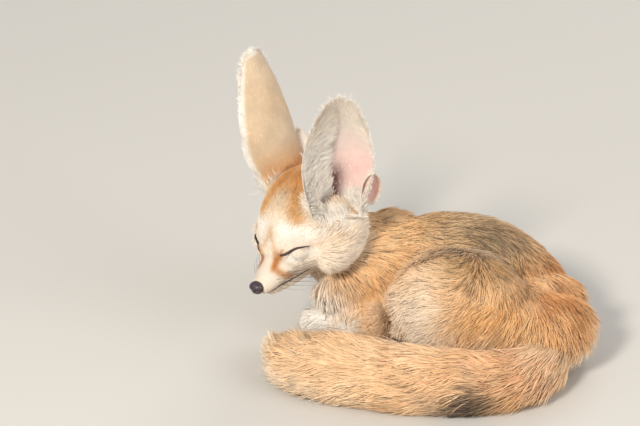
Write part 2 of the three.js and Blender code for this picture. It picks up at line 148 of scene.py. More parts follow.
def loft(stations, domes, depth=0.0, rings=48, sides=64, domeRings=7):
    # a rounded body along its stations, closed by half domes, and smaller all round by depth
    lean = np.linspace(90, 0, domeRings + 2)[1:-1]
    t = np.concatenate([np.zeros(domeRings), np.linspace(0, 1, rings), np.ones(domeRings)])
    lean = np.concatenate([lean, np.zeros(rings), lean[::-1]])
    start, end = max(domes[0] - depth, 0.5), max(domes[1] - depth, 0.5)
    reach = np.concatenate([np.full(domeRings, -start), np.zeros(rings), np.full(domeRings, end)])
    centre, along, across, up, wide, high, pear = sectionsAt(stations, t)
    centre = centre + along * (reach * np.sin(np.radians(lean)))[:, None]
    share = np.cos(np.radians(lean))
    angle = np.linspace(0, 2 * np.pi, sides, endpoint=False)
    aside = (np.maximum(wide - depth, 0.5) * share)[:, None] * np.cos(angle)
    aside = aside * (1 - pear[:, None] * np.sin(angle))
    above = (np.maximum(high - depth, 0.5) * share)[:, None] * np.sin(angle)
    rows = centre[:, None] + across[:, None] * aside[..., None] + up[:, None] * above[..., None]
    ends = sectionsAt(stations, [0, 1])
    poles = ends[0] + ends[1] * np.array([[-start], [end]])
    return closedGrid(rows, poles[0], poles[1])


def egg(at, half, depth=0.0, sides=48):
    # a sphere stretched to three half sizes, smaller by depth
    half = np.maximum(np.asarray(half, float) - depth, 0.4)
    lean = np.linspace(0, np.pi, sides // 2 + 1)[1:-1]
    angle = np.linspace(0, 2 * np.pi, sides, endpoint=False)
    rows = np.stack(np.broadcast_arrays(
        np.sin(lean)[:, None] * np.cos(angle), np.sin(lean)[:, None] * np.sin(angle),
        -np.cos(lean)[:, None]), -1) * half + np.asarray(at, float)
    pole = np.array([0, 0, half[2]])
    return closedGrid(rows, np.asarray(at) - pole, np.asarray(at) + pole)


# ---- the fox's own sizes: those of its solids, with the tail's middle a little fuller ----
# haunch and withers only fill the dips that the coat bridges. Domes are the reaches of the two ends,
# depth is the coat's, and lie is how far the hair runs along the stations and down; the trunk's lie
# is worked out below.
body = {
    "torso": {
        "stations": [
            [-72, 10, 33, 17, 25], [-58, 17, 38, 28, 36], [-36, 26, 41, 36, 42],
            [-5, 33, 42, 41, 44], [26, 30, 41, 43, 43], [50, 18, 36, 37, 38], [63, 5, 29, 32, 31]],
        "domes": (14, 12), "depth": 6.5},
    "rump": {"at": [63, -15, 28], "half": [40, 42, 32], "depth": 7},
    "haunch": {"at": [62, 3, 34], "half": [35, 29, 29], "depth": 6},
    "withers": {"at": [-38, 36, 66], "half": [30, 24, 21], "depth": 5},
    "thigh": {
        "stations": [
            [-23, -15, 41, 15, 24, -24], [-8, -16, 43, 22, 36, -24],
            [16, -20, 44, 26, 40, -24], [36, -28, 40, 24, 35, -20]],
        "domes": (10, 18), "depth": 5.5},
    "neck": {
        "stations": [
            [-40, 28, 42, 30, 29], [-58, 32, 56, 32, 32], [-75, 35, 67, 29, 31],
            [-90, 34, 76, 23, 25]],
        "domes": (8, 8), "depth": 6.5},
    "forelegLeft": {
        "stations": [
            [-38, -4, 24, 17, 18], [-54, 2, 21, 14, 13.5], [-70, 6, 20, 11.5, 11],
            [-84, 8, 18.5, 10.5, 11]],
        "domes": (10, 9), "depth": 2.6, "lie": (1, 0.2)},
    "forepawLeft": {
        "stations": [[-84, 7, 7, 10.5, 8], [-74, 5, 6.5, 11, 7], [-64, 2, 6, 10.5, 6.5]],
        "domes": (6, 5), "depth": 1.5, "lie": (1, 0),
        "toes": {"at": [-58, 0.5, 5.5], "way": [1, -0.3, 0], "spread": 4.6}},
    "forelegRight": {
        "stations": [[-34, 52, 26, 15, 18], [-50, 50, 19, 12, 13], [-64, 45, 14, 10, 10]],
        "domes": (10, 5), "depth": 2.6, "lie": (1, 0.2)},
    "forepawRight": {
        "stations": [[-62, 45, 7, 9.5, 8], [-70, 43, 6, 10.5, 7.5], [-76, 41, 5.5, 9.5, 6.5]],
        "domes": (4, 5), "depth": 1.5, "lie": (1, 0),
        "toes": {"at": [-83, 38.5, 5], "way": [-1, -0.3, 0], "spread": 4.6}},
    "hindfootLeft": {
        "stations": [
            [40, -50, 9, 9, 10], [14, -50, 7, 8, 8], [-14, -45, 6, 8.5, 7],
            [-22, -43, 5.5, 9, 6.5]],
        "domes": (6, 5), "depth": 1.5, "lie": (1, 0),
        "toes": {"at": [-29, -41.5, 5], "way": [-1, 0.2, 0], "spread": 4.4}},
    "hindlegRight": {
        "stations": [
            [6, -34, 7, 10, 9], [-16, -28, 7, 9, 8], [-32, -23, 6, 9.5, 7], [-38, -21, 5.5, 9, 6.5]],
        "domes": (6, 5), "depth": 1.5, "lie": (1, 0),
        "toes": {"at": [-45, -19, 5], "way": [-1, 0.3, 0], "spread": 4.4}},
}
tail = {
    "stations": [
        [74, -34, 24, 16, 16], [62, -53, 21, 18, 18], [44, -66.5, 19.5, 19.5, 19.5],
        [18, -74.5, 20, 20, 21], [-16, -74.5, 21.5, 20.5, 22.5], [-50, -66, 22, 21.5, 23],
        [-78, -53, 19, 21, 20], [-93, -38, 15, 14, 15], [-86, -23, 11, 11, 11],
        [-70, -19, 8.5, 6, 8]],
    "core": 0.82, "settle": 0.8,
}
toe = {"half": [6, 3.3, 4.6], "depth": 0.9, "sides": 20, "places": [-1.5, -0.5, 0.5, 1.5], "back": 1.4}

# ---- the head's own frame: forward, left and up from the point between the eyes ----
headTurn = {"yaw": 52, "pitch": -22, "roll": 6, "eyesAt": [-106, -8, 82]}


def headAxes():
    yaw, pitch, roll = (np.radians(headTurn[key]) for key in ("yaw", "pitch", "roll"))
    forward = np.array([-np.cos(pitch) * np.cos(yaw), -np.cos(pitch) * np.sin(yaw), np.sin(pitch)])
    left = unit(np.cross([0, 0, 1], forward))
    left = left * np.cos(roll) + np.cross(forward, left) * np.sin(roll)
    return np.array([forward, left, np.cross(forward, left)])


headWays = headAxes()
eyesAt = np.array(headTurn["eyesAt"], float)


def fromHead(points):
    return np.asarray(points, float) @ headWays + eyesAt


def inHead(points):
    return (points - eyesAt) @ headWays.T


head = {
    "skull": {
        "stations": [
            [2, 0, -8, 20, 18, 0, 0.1], [-10, 0, -5, 29, 27, 0, 0.14], [-26, 0, -2, 35, 33, 0, 0.16],
            [-43, 0, -2, 35, 33, 0, 0.14], [-58, 0, -5, 26, 26, 0, 0.08]],
        "domes": (12, 14), "depth": 3.2},
    "muzzle": {
        "stations": [
            [-6, 0, -11, 19, 17, 0, 0.1], [6, 0, -12, 14.5, 12.5, 0, 0.12],
            [15, 0, -12.5, 11.5, 9, 0, 0.12], [23, 0, -13.3, 8.8, 7, 0, 0.1],
            [27, 0, -13, 6.8, 5.6, 0, 0.06]],
        "domes": (6, 3), "depth": 0.5},
    "jaw": {
        "stations": [
            [-22, 0, -24, 17, 12], [-2, 0, -25, 12, 7], [12, 0, -23.8, 8.4, 4.6],
            [21, 0, -21.4, 5.6, 3.4]],
        "domes": (6, 3.4), "depth": 0.5},
    "cheekLeft": {"at": [-28, 24, -14], "half": [27, 18, 21], "depth": 4.2},
    "cheekRight": {"at": [-28, -24, -14], "half": [27, 18, 21], "depth": 4.2},
    "lidLeft": {"at": [-4, 17, -2.5], "half": [10, 7, 7], "depth": 1.2},
    "lidRight": {"at": [-4, -17, -2.5], "half": [10, 7, 7], "depth": 1.2},
}


# ---- ears: sheets wrapped round their own axes ----
ear = {
    "thick": 1.7, "rows": 76, "columns": 56, "floor": 3,
    "pouch": {"at": [23, 9, 18.5], "half": [6.6, 4.6, 14.5]},
    "shape": [  # share of the length, half girth, half wrap in degrees
        [0, 25, 88], [0.1, 27, 84], [0.2, 29.5, 80], [0.32, 31.5, 76], [0.46, 30, 66],
        [0.6, 26, 58], [0.72, 21.5, 50], [0.82, 17, 44], [0.9, 12.8, 38], [0.95, 9.6, 33],
        [0.98, 6.6, 30], [1, 2.4, 28]],
    "poses": {
        "left": {
            "root": [-70, 3, 107], "tip": [-63.5, -30, 196], "facing": [0.22, -0.95, 0.2],
            "outer": -1, "bow": 8},
        "right": {
            "root": [-91, 31, 104], "tip": [-122.5, 42, 198.5], "facing": [-0.8, 0.6, 0],
            "outer": 1, "bow": 1}},
}


def earFrame(side):
    pose = ear["poses"][side]
    root = np.array(pose["root"], float)
    axis = np.array(pose["tip"]) - root
    length = np.linalg.norm(axis)
    axis = axis / length
    front = np.array(pose["facing"], float)
    front = unit(front - dots(front, axis) * axis)
    return root, np.array([np.cross(front, axis), front, axis]), length, pose["outer"]


# ---- skin: every form of the flesh, inside the coat, run together and smoothed ----
def toesOf(form):
    # the toes' own ways and middles: four side by side, the outer ones a little further back
    if "toes" not in form:
        return np.eye(3), []
    toes = form["toes"]
    ahead = unit(np.array(toes["way"], float))
    aside = np.array([-ahead[1], ahead[0], 0])
    place = np.array(toe["places"])[:, None]
    middles = np.array(toes["at"]) + aside * place * toes["spread"] - ahead * toe["back"] * place**2
    return np.array([ahead, aside, [0, 0, 1]]), middles


def tailCore():
    # the tail under its brush: smaller sections that lie on the ground
    rows = np.array(tail["stations"], float)
    core = rows.copy()
    core[:, 3:5] *= tail["core"]
    core[:, 2] -= rows[:, 4] * (1 - tail["core"]) - tail["settle"]
    return core


def fleshForms():
    for form in body.values():
        if "half" in form:
            yield egg(form["at"], form["half"], form["depth"], 96)
            continue
        yield loft(form["stations"], form["domes"], form["depth"])
        turn, middles = toesOf(form)
        for middle in middles:
            points, quads, fans = egg([0, 0, 0], toe["half"], toe["depth"], toe["sides"])
            yield points @ turn + middle, quads, fans
    yield loft(tailCore(), (4, 4), 0.0, 96, 40)
    for form in head.values():
        if "half" in form:
            points, quads, fans = egg(form["at"], form["half"], form["depth"])
        else:
            points, quads, fans = loft(form["stations"], form["domes"], form["depth"])
        yield fromHead(points), quads, fans


def joined(forms):
    points, faces, start = [], [], 0
    for part, quads, fans in forms:
        points.append(part)
        faces += (quads + start).tolist() + (fans + start).tolist()
        start += len(part)
    return np.vstack(points), faces


def meshOf(name, points, faces):
    mesh = bpy.data.meshes.new(name)
    mesh.from_pydata(np.asarray(points, float).tolist(), [], faces)
    mesh.update()
    return mesh


def pieceOf(name, mesh):
    piece = bpy.data.objects.new(name, mesh)
    bpy.context.scene.collection.objects.link(piece)
    return piece


def smooth(mesh):
    mesh.polygons.foreach_set("use_smooth", np.ones(len(mesh.polygons), bool))


def evaluated(piece):
    # the piece's mesh with its modifiers applied
    graph = bpy.context.evaluated_depsgraph_get()
    mesh = bpy.data.meshes.new_from_object(piece.evaluated_get(graph))
    piece.modifiers.clear()
    old, piece.data = piece.data, mesh
    bpy.data.meshes.remove(old)
    return mesh


def arraysOf(mesh):
    points = np.empty(len(mesh.vertices) * 3, np.float32)
    mesh.vertices.foreach_get("co", points)
    mesh.calc_loop_triangles()
    triangles = np.empty(len(mesh.loop_triangles) * 3, np.int32)
    mesh.loop_triangles.foreach_get("vertices", triangles)
    edges = np.empty(len(mesh.edges) * 2, np.int32)
    mesh.edges.foreach_get("vertices", edges)
    return points.reshape(-1, 3).astype(float), triangles.reshape(-1, 3), edges.reshape(-1, 2)


def spread(values, edges, rounds, keep=0.5):
    # each vertex takes on the mean of its neighbours, keep being its own share
    values = values.astype(float).copy()
    count = np.bincount(edges.ravel(), minlength=len(values))[:, None]
    for turn in range(rounds):
        total = np.stack([
            np.bincount(edges[:, 0], values[edges[:, 1], axis], len(values))
            + np.bincount(edges[:, 1], values[edges[:, 0], axis], len(values))
            for axis in range(values.shape[1])], -1)
        share = keep if np.isscalar(keep) else keep[:, None]
        values = values * share + total / np.maximum(count, 1) * (1 - share)
    return values


def normalsOf(points, triangles):
    # the sum of the crossed edges of the triangles round each vertex
    a, b, c = (points[triangles[:, i]] for i in range(3))
    face = np.cross(b - a, c - a)
    total = np.stack([
        sum(np.bincount(triangles[:, i], face[:, axis], len(points)) for i in range(3))
        for axis in range(3)], -1)
    return unit(total)


skinSet = {
    "voxel": 1.3, "rounds": 7, "faceRounds": 2, "floor": 0.6, "fillRounds": 130, "fillPasses": 4,
    "fill": 0.95, "endRounds": 4, "flowRounds": 10, "blend": 0.07}


def filled(points, triangles, edges):
    # the hollows between the forms of trunk and head are filled as the coat bridges them; what
    # stands out stays
    f, l, u = inHead(points).T
    isFace = ramp(-18, 3, f) * ramp(-26, -16, u) * ramp(26, 20, np.abs(l))
    share = ramp(16, 32, points[:, 2]) * (1 - 0.9 * isFace) * skinSet["fill"]
    for turn in range(skinSet["fillPasses"]):
        soft = spread(points, edges, skinSet["fillRounds"])
        normals = normalsOf(points, triangles)
        rise = np.maximum(dots(soft - points, normals), 0) * share
        points = points + normals * rise[:, None]
    return spread(points, edges, skinSet["endRounds"], 0.5 + 0.5 * isFace)


def hollowed(points):
    # inside each ear the skull is let down to the ear's floor, so that the canal is open
    deep = np.zeros(len(points))
    for side in ear["poses"]:
        root, ways, length, outer = earFrame(side)
        local = (points - root) @ ways.T
        shape = curveAt(ear["shape"], np.linspace(0, 1, 80))
        radius = np.interp(local[:, 2] / length, shape[:, 0], shape[:, 1] / np.radians(shape[:, 2]))
        along = np.clip(local[:, 2] / length, 0, 1)
        behind = -ear["poses"][side]["bow"] * np.sin(np.pi * along)
        rho = np.hypot(local[:, 0], local[:, 1] - radius - behind)
        inside = ramp(0, -4.5, rho - radius) * ramp(0, 2, local[:, 2]) * ramp(60, 40, local[:, 2])
        inside *= ramp(24, 12, local[:, 1])
        drop = np.maximum(local[:, 2] - ear["floor"], 0) * inside
        points = points - ways[2] * drop[:, None]
        deep = np.maximum(deep, inside * ramp(0, 3, drop))
    return points, deep


def bodySkin():
    points, faces = joined(fleshForms())
    piece = pieceOf("skin", meshOf("skin", points, faces))
    remesh = piece.modifiers.new("run together", "REMESH")
    remesh.mode = "VOXEL"
    remesh.voxel_size = skinSet["voxel"]
    evaluated(piece)
    points, triangles, edges = arraysOf(piece.data)
    face = ramp(-34, -8, inHead(points)[:, 0])
    points = spread(points, edges, skinSet["faceRounds"])
    points = spread(points, edges, skinSet["rounds"] - skinSet["faceRounds"], 0.5 + 0.5 * face)
    points, deep = hollowed(filled(points, triangles, edges))
    points[:, 2] = np.maximum(points[:, 2], skinSet["floor"])
    piece.data.vertices.foreach_set("co", points.ravel())
    piece.data.update()
    return piece, deep


skin, earDeep = bodySkin()
print("stage 2: the skin has", len(skin.data.vertices), "vertices")

# ---- camera ----
view = {"elevation": 28.0, "distance": 2200.0, "pixelsPerMm": 1.5, "aim": (440, 350)}


def stand(piece, sideways, upward, backward, place):
    # the piece stands at its place and looks against its backward way
    matrix = np.eye(4)
    matrix[:3] = np.stack([sideways, upward, backward, place], -1)
    piece.matrix_world = Matrix(matrix.tolist())


def setCamera():
    # the camera stands where the photo was taken from, turned so that the drawing's origin shows at
    # its aim, in pixels of a frame 640 by 426
    rise = math.radians(view["elevation"])
    back = np.array([0, -math.cos(rise), math.sin(rise)])
    right, up = np.array([1.0, 0, 0]), np.array([0, math.sin(rise), math.cos(rise)])
    reach = view["distance"] * view["pixelsPerMm"]
    offX, offY = view["aim"][0] - 320, view["aim"][1] - 213
    backward = unit(back + right * offX / reach - up * offY / reach)
    sideways = unit(right - dots(right, backward) * backward)
    camera = bpy.data.cameras.new("camera")
    camera.lens = reach * 36 / 640
    camera.clip_start, camera.clip_end = 0.05, 50
    piece = pieceOf("camera", camera)
    stand(piece, sideways, np.cross(backward, sideways), backward, toFrame(back * view["distance"]))
    bpy.context.scene.camera = piece


setCamera()

# ---- the lie, length and colour of the coat at each point of the skin ----
# length, width and lift in degrees of a tuft, and tufts to a square millimetre
coatKinds = {
    "torso": (14, 0.85, 22, 1.5), "rump": (19, 0.9, 22, 1.9), "thigh": (14, 0.75, 22, 2.2),
    "haunch": (17, 0.9, 22, 1.8), "withers": (14, 0.85, 22, 1.6),
    "neck": (14, 0.75, 22, 2.2), "forelegLeft": (7, 0.55, 20, 2.2), "forepawLeft": (3.8, 0.45, 16, 2.6),
    "forelegRight": (7, 0.6, 20, 1.0), "forepawRight": (3.8, 0.5, 16, 1.2),
    "hindfootLeft": (4.4, 0.5, 16, 1.5), "hindlegRight": (4.4, 0.5, 16, 1.2),
    "tail": (27, 1.0, 16, 2.4), "skull": (7.5, 0.5, 22, 3.2), "muzzle": (2.6, 0.32, 16, 6),
    "jaw": (3.4, 0.36, 18, 4.5), "cheekLeft": (10, 0.55, 24, 3.4), "cheekRight": (10, 0.6, 24, 2.2),
    "lidLeft": (2.4, 0.3, 14, 6), "lidRight": (2.4, 0.3, 14, 6)}
# the line the trunk's hair follows: from the nape over the back and round to the tail's root
drift = [
    [-100, 30, 95], [-60, 34, 90], [-20, 38, 92], [20, 34, 88], [52, 20, 72], [74, -4, 50],
    [80, -30, 30], [66, -52, 18], [40, -66, 16]]


def trunkWay(points, thigh):
    # along that line and downwards, straight down on the chest; on the thigh it fans out forwards
    line = curveAt(drift, np.linspace(0, 1, 160))
    x, y, z = points.T
    chest = ramp(-46, -80, x) * ramp(84, 50, z)
    flank = ramp(74, 30, z)
    way = unit(np.gradient(line, axis=0))[nearestOn(points, line)] * (1 - 0.75 * chest)[:, None]
    way = way + np.array([0, 0, -1.0]) * (0.15 + 0.55 * flank + 0.9 * chest)[:, None]
    before = bump(-38, 16, x) * ramp(76, 60, z)  # the shoulder's side, before the thigh
    way = way + np.array([-0.3, 0, -0.9]) * before[:, None]
    rise = 1.2 * ramp(60, 80, z) - 0.75 * ramp(58, 36, z) - 0.6 * ramp(5, 35, x) * ramp(84, 62, z)
    fan = np.stack([-1 + 0.6 * ramp(4, 34, x), -0.1 + 0 * x, rise], -1)
    aside = (thigh * ramp(6, -14, y) * ramp(46, 6, x))[:, None]
    return way * (1 - aside) + fan * aside


def placeOn(points, form, depth, inTheHead):
    # q is 1 on the form's surface; t and round are the place along and round it
    if "half" in form:
        local = (inHead(points) if inTheHead else points) - np.array(form["at"])
        local = local / (np.array(form["half"], float) - depth)
        q = np.linalg.norm(local, axis=1)
        round_ = np.arctan2(local[:, 1], local[:, 0])
        rise = np.arcsin(np.clip(local[:, 2] / np.maximum(q, 1e-6), -1, 1))
        return q, np.zeros_like(points), rise / np.pi + 0.5, round_
    count = 90
    t = np.linspace(0, 1, count)
    centre, along, across, up, wide, high, pear = sectionsAt(form["stations"], t)
    if inTheHead:
        centre = fromHead(centre)
        along, across, up = along @ headWays, across @ headWays, up @ headWays
    nearest = nearestOn(points, centre)
    local = points - centre[nearest]
    aside = dots(local, across[nearest]) / np.maximum(wide - depth, 0.5)[nearest]
    above = dots(local, up[nearest]) / np.maximum(high - depth, 0.5)[nearest]
    over = dots(local, along[nearest])
    past = np.where(nearest == 0, np.minimum(over, 0) / max(form["domes"][0] - depth, 0.5), 0)
    ahead = np.maximum(over, 0) / max(form["domes"][1] - depth, 0.5)
    past += np.where(nearest == count - 1, ahead, 0)
    q = np.sqrt(aside**2 + above**2 + past**2)
    return q, along[nearest], t[nearest], np.arctan2(above, aside)


def skinFields(points, normals, edges):
    # each form's lie and kind of coat, blended by how near the point is to its surface
    names = list(body) + ["tail"] + list(head)
    tailForm = {"stations": tailCore().tolist(), "domes": (4, 4)}
    h = inHead(points)
    down = np.array([0, 0, -1.0])
    nearby, ways, places, rounds = [], [], [], []
    for name in names:
        inTheHead = name in head
        form = tailForm if name == "tail" else (head if inTheHead else body)[name]
        q, along, t, round_ = placeOn(points, form, form.get("depth", 0), inTheHead)
        if name == "tail":
            way = along
        elif inTheHead:
            way = np.tile(-headWays[0], (len(points), 1))
            if name.startswith("cheek"):
                way = way + 0.35 * down + 0.2 * np.sign(h[:, 1:2]) * headWays[1]
            if name == "muzzle":
                way = way + 0.25 * down
            if name.startswith("lid"):
                way = way + 0.6 * headWays[2] * np.sign(h[:, 2:3] + 4)
        elif "lie" in form:
            share, fall = form["lie"]
            way = along * share + down * fall
        else:
            way = None
        nearby.append(q)
        ways.append(way)
        places.append(t)
        rounds.append(round_)
    q = np.array(nearby)
    weights = np.exp(-(q - q.min(0)) / skinSet["blend"])
    weights /= weights.sum(0)
    trunk = trunkWay(points, weights[names.index("thigh")])
    ways = [trunk if way is None else way for way in ways]
    flow = np.einsum("fn,fnk->nk", weights, np.array(ways))
    flow = flow - normals * dots(flow, normals)[:, None]
    flow = spread(unit(flow), edges, skinSet["flowRounds"])
    flow = unit(flow - normals * dots(flow, normals)[:, None])
    kinds = np.einsum("fn,fk->nk", weights, np.array([coatKinds[name] for name in names]))
    owner = np.argmax(weights, 0)
    every = np.arange(len(points))
    share = {name: weights[i] for i, name in enumerate(names)}
    return {
        "names": names, "owner": owner, "flow": flow, "kinds": kinds, "share": share, "head": h,
        "t": np.array(places)[owner, every], "round": np.array(rounds)[owner, every],
        "tailT": places[names.index("tail")]}


# courses of the face's markings, in the head's frame on its left side, and how wide they are
faceLines = {
    "tear": ([[8.5, 9, 0], [11, 6.4, -3.5], [14.5, 6.8, -7], [13.5, 10.4, -11.5], [9, 12, -16]], 2.5),
    "bridge": ([[0, 0, 13], [4.5, 2, 8.5], [8, 4.4, 3], [11, 5.4, -2.5], [17, 5.4, -7]], 1.5),
    "brow": ([[-1.5, 9, 12.5], [-5, 15, 11], [-8, 20, 7.5], [-14, 26, 3]], 5),
    "corner": ([[-6.5, 23, -0.8], [-9, 24.6, -1.6], [-12, 26.5, -3]], 2.2),
    "stripe": ([[-30, 6, 27], [-20, 10, 24.5], [-13, 12.5, 20.5], [-9, 15.5, 16]], 5),
    "rows": ([[10, 12, -12.5], [5, 14, -15.5], [-1, 16.5, -19]], 1.1),
    "under": ([[6.5, 12.5, -3.4], [2, 18, -4.6], [-4, 22.5, -5.2]], 3.2)}


def markingsOf(points, fields):
    # shares of gold, rust, grizzled grey, dark and white over the coat's cream, and of ticked tufts
    x, y, z = points.T
    f, l, u = fields["head"].T
    side = np.abs(l)
    share = fields["share"]
    isHead = sum(share[name] for name in head)
    isTail = share["tail"]
    isLeg = sum(share[name] for name in body if "leg" in name or "paw" in name or "foot" in name)
    isTrunk = np.clip(1 - isHead - isTail - isLeg, 0, 1)
    patch = waves(points, 34, 3)
    streak = waves(points * [1, 1, 2], 12, 4)
    nothing = np.zeros(len(points))
    # trunk
    back = ramp(62, 78, z + 4 * patch) * ramp(-40, -5, x)
    spine = bump(0, 1, np.hypot((x - 32) / 34, (y - 18) / 20)) * ramp(50, 66, z)
    flank = ramp(34, 58, x + 4 * patch) * ramp(22, 44, z) * ramp(-48, -20, y)
    oval = np.exp(-((x + 10 + 5 * patch) / 27) ** 2 - ((z - 42) / 24) ** 2) * ramp(12, -16, y)
    hem = ramp(46, 20, z) * ramp(-40, -10, x)
    breast = ramp(-50, -78, x) * ramp(62, 40, z)
    gold = 0.68 + 0.14 * patch - 0.44 * oval - 0.25 * hem - 0.6 * breast
    rust = 0.12 + 0.1 * streak + 0.5 * flank * (0.75 + 0.3 * patch) - 0.14 * oval
    grey = 0.34 * back + 0.5 * spine
    white = 0.42 * oval + 0.22 * hem + 0.75 * breast
    tick = 0.16 * back + 0.3 * spine + 0.07 + 0.05 * flank
    trunk = np.stack([gold, rust, grey, nothing, white, tick], -1)
    # tail: orange at its root, the dark spot of its gland near the ground, dark wisps and tip
    t = fields["tailT"]
    gland = bump(0.27, 0.055, t) * ramp(-62, -72, y) * ramp(24, 12, z)
    streaks = np.abs(waves(points * [0.5, 1, 1.6], 13, 5))
    wisp = ramp(0.5, 0.62, t) * ramp(0.9, 1.5, 0.9 * streaks + 0.25)
    tip = ramp(0.84, 0.92, t)
    warm = bump(0.16, 0.15, t) * ramp(8, 26, z)
    pale = ramp(0.4, 0.7, t) * ramp(26, 12, z)
    tailSet = np.stack([
        0.56 + 0.14 * patch - 0.36 * pale, 0.08 + 0.42 * warm + 0.12 * streak - 0.1 * pale,
        0.1 + nothing, np.clip(1.15 * gland + 0.5 * wisp + 0.75 * tip, 0, 0.97), 0.06 + 0.26 * pale,
        0.04 + 0.3 * gland], -1)
    # legs
    wrist = ramp(-46, -60, x)
    legs = np.stack([
        0.62 - 0.6 * wrist, 0.14 - 0.14 * wrist, nothing, nothing, 0.15 + 0.85 * wrist,
        0.02 + nothing], -1)
    # head
    beside = np.stack([f, side, u], -1)
    lines = {name: nearLine(beside, *line) for name, line in faceLines.items()}
    crown = ramp(4, 20, u) * ramp(2, -12, f)
    between = ramp(-15, -29, f) * ramp(22, 10, side) * ramp(12, 22, u)
    nape = ramp(-46, -62, f)
    temple = bump(-23, 15, f) * bump(5, 12, u) * ramp(15, 24, side)
    headGold = 0.12 + 0.2 * crown + 0.6 * between + 0.5 * temple + 0.6 * nape + 0.6 * lines["stripe"]
    headRust = (
        0.05 + 0.32 * between + 0.8 * lines["tear"] + 0.4 * lines["bridge"] + 0.6 * lines["corner"]
        + 0.25 * lines["stripe"] + 0.25 * nape)
    headWhite = (
        0.5 + 0.5 * lines["brow"] + 0.4 * lines["under"] - 0.3 * crown - 0.5 * between - 0.7 * nape
        - 0.45 * temple - 0.9 * lines["tear"] - 0.45 * lines["bridge"] - 0.4 * lines["stripe"])
    headDark = 0.18 * lines["tear"] + 0.4 * lines["rows"]
    headGrey, headTick = 0.1 * temple + 0.12 * crown, 0.004 + 0.05 * temple
    headSet = np.stack([headGold, headRust, headGrey, headDark, headWhite, headTick], -1)
    total = sum(part[:, None] * made for part, made in (
        (isTrunk, trunk), (isTail, tailSet), (isLeg, legs), (isHead, headSet)))
    return np.clip(total, 0, 1)


points, triangles, edges = arraysOf(skin.data)
normals = normalsOf(points, triangles)
fields = skinFields(points, normals, edges)
markings = markingsOf(points, fields)
ticks, markings = markings[:, 5], markings[:, :5]
print("stage 3: lie and markings are worked out")


def paint(mesh, marks, **more):
    # the markings, and what else has a value at each vertex, go to the materials as attributes
    four = mesh.attributes.new("marking", "FLOAT_COLOR", "POINT")
    four.data.foreach_set("color", marks[:, :4].astype(np.float32).ravel())
    for name, values in {"pale": marks[:, 4], **more}.items():
        layer = mesh.attributes.new(name, "FLOAT", "POINT")
        layer.data.foreach_set("value", values.astype(np.float32))


# ---- coat: tufts along the lie ----
def inOrder(centres):
    # near triangles get near places in the row, by weaving the bits of their coordinates
    low = centres.min(0)
    cells = ((centres - low) / (centres.max(0) - low).max() * 1023).astype(np.int64)
    code = np.zeros(len(cells), np.int64)
    for bit in range(10):
        for axis in range(3):
            code |= ((cells[:, axis] >> bit) & 1) << (3 * bit + axis)
    return np.argsort(code, kind="stable")


def sampled(surface, density, source):
    # roots spread evenly over the triangles, each area getting its density's share
    points, triangles = surface["points"], surface["triangles"]
    corners = points[triangles]
    first, second = corners[:, 1] - corners[:, 0], corners[:, 2] - corners[:, 0]
    area = np.linalg.norm(np.cross(first, second), axis=1)
    share = area / 2 * density[triangles].mean(1)
    order = inOrder(corners.mean(1))
    total = np.cumsum(share[order])
    count = int(total[-1])
    spots = (np.arange(count) + source.random(count)) / count * total[-1]
    chosen = triangles[order[np.minimum(np.searchsorted(total, spots), len(order) - 1)]]
    a, b = source.random((2, count))
    fold = a + b > 1
    a[fold], b[fold] = 1 - a[fold], 1 - b[fold]
    parts = np.stack([1 - a - b, a, b], -1)
    made = {}
    for name, values in surface.items():
        if name == "triangles":
            continue
        if values.dtype.kind == "i":
            made[name] = values[chosen[:, 0]]
        elif values.ndim == 1:
            made[name] = np.sum(values[chosen] * parts, 1)
        else:
            made[name] = np.einsum("nk,nkd->nd", parts, values[chosen])
    return made


def clumped(roots, size, source):
    # the mean root of each tuft's clump, the clumps being cells of a wavy grid
    cell = np.floor(roots / size + 0.45 * np.stack([
        waves(roots, size * 3, int(seed)) for seed in source.integers(1, 999, 3)], -1)).astype(int)
    _, member, count = np.unique(cell, axis=0, return_inverse=True, return_counts=True)
    member = member.ravel()
    return np.stack([
        np.bincount(member, roots[:, axis]) / count for axis in range(3)], -1)[member]


coatSet = {
    "share": 0.86, "sink": 0.5, "flat": 0.5, "droop": 0.55, "curl": 0.12, "stray": 0.12,
    "longer": 0.28, "widths": (0.8, 1.29), "lifts": (0.7, 1.35), "tints": (0.75, 1.25),
    "tickDark": 0.75, "fullPull": 9, "gather": 0.45, "clump": 5.0, "skinNormal": 1.0,
    "roundNormal": 0.5,
    "least": 0.2, "floor": 0.35, "most": 33000, "patch": 0.003, "profiles": {1: [1.0], 2: [0.8, 1.0]}}


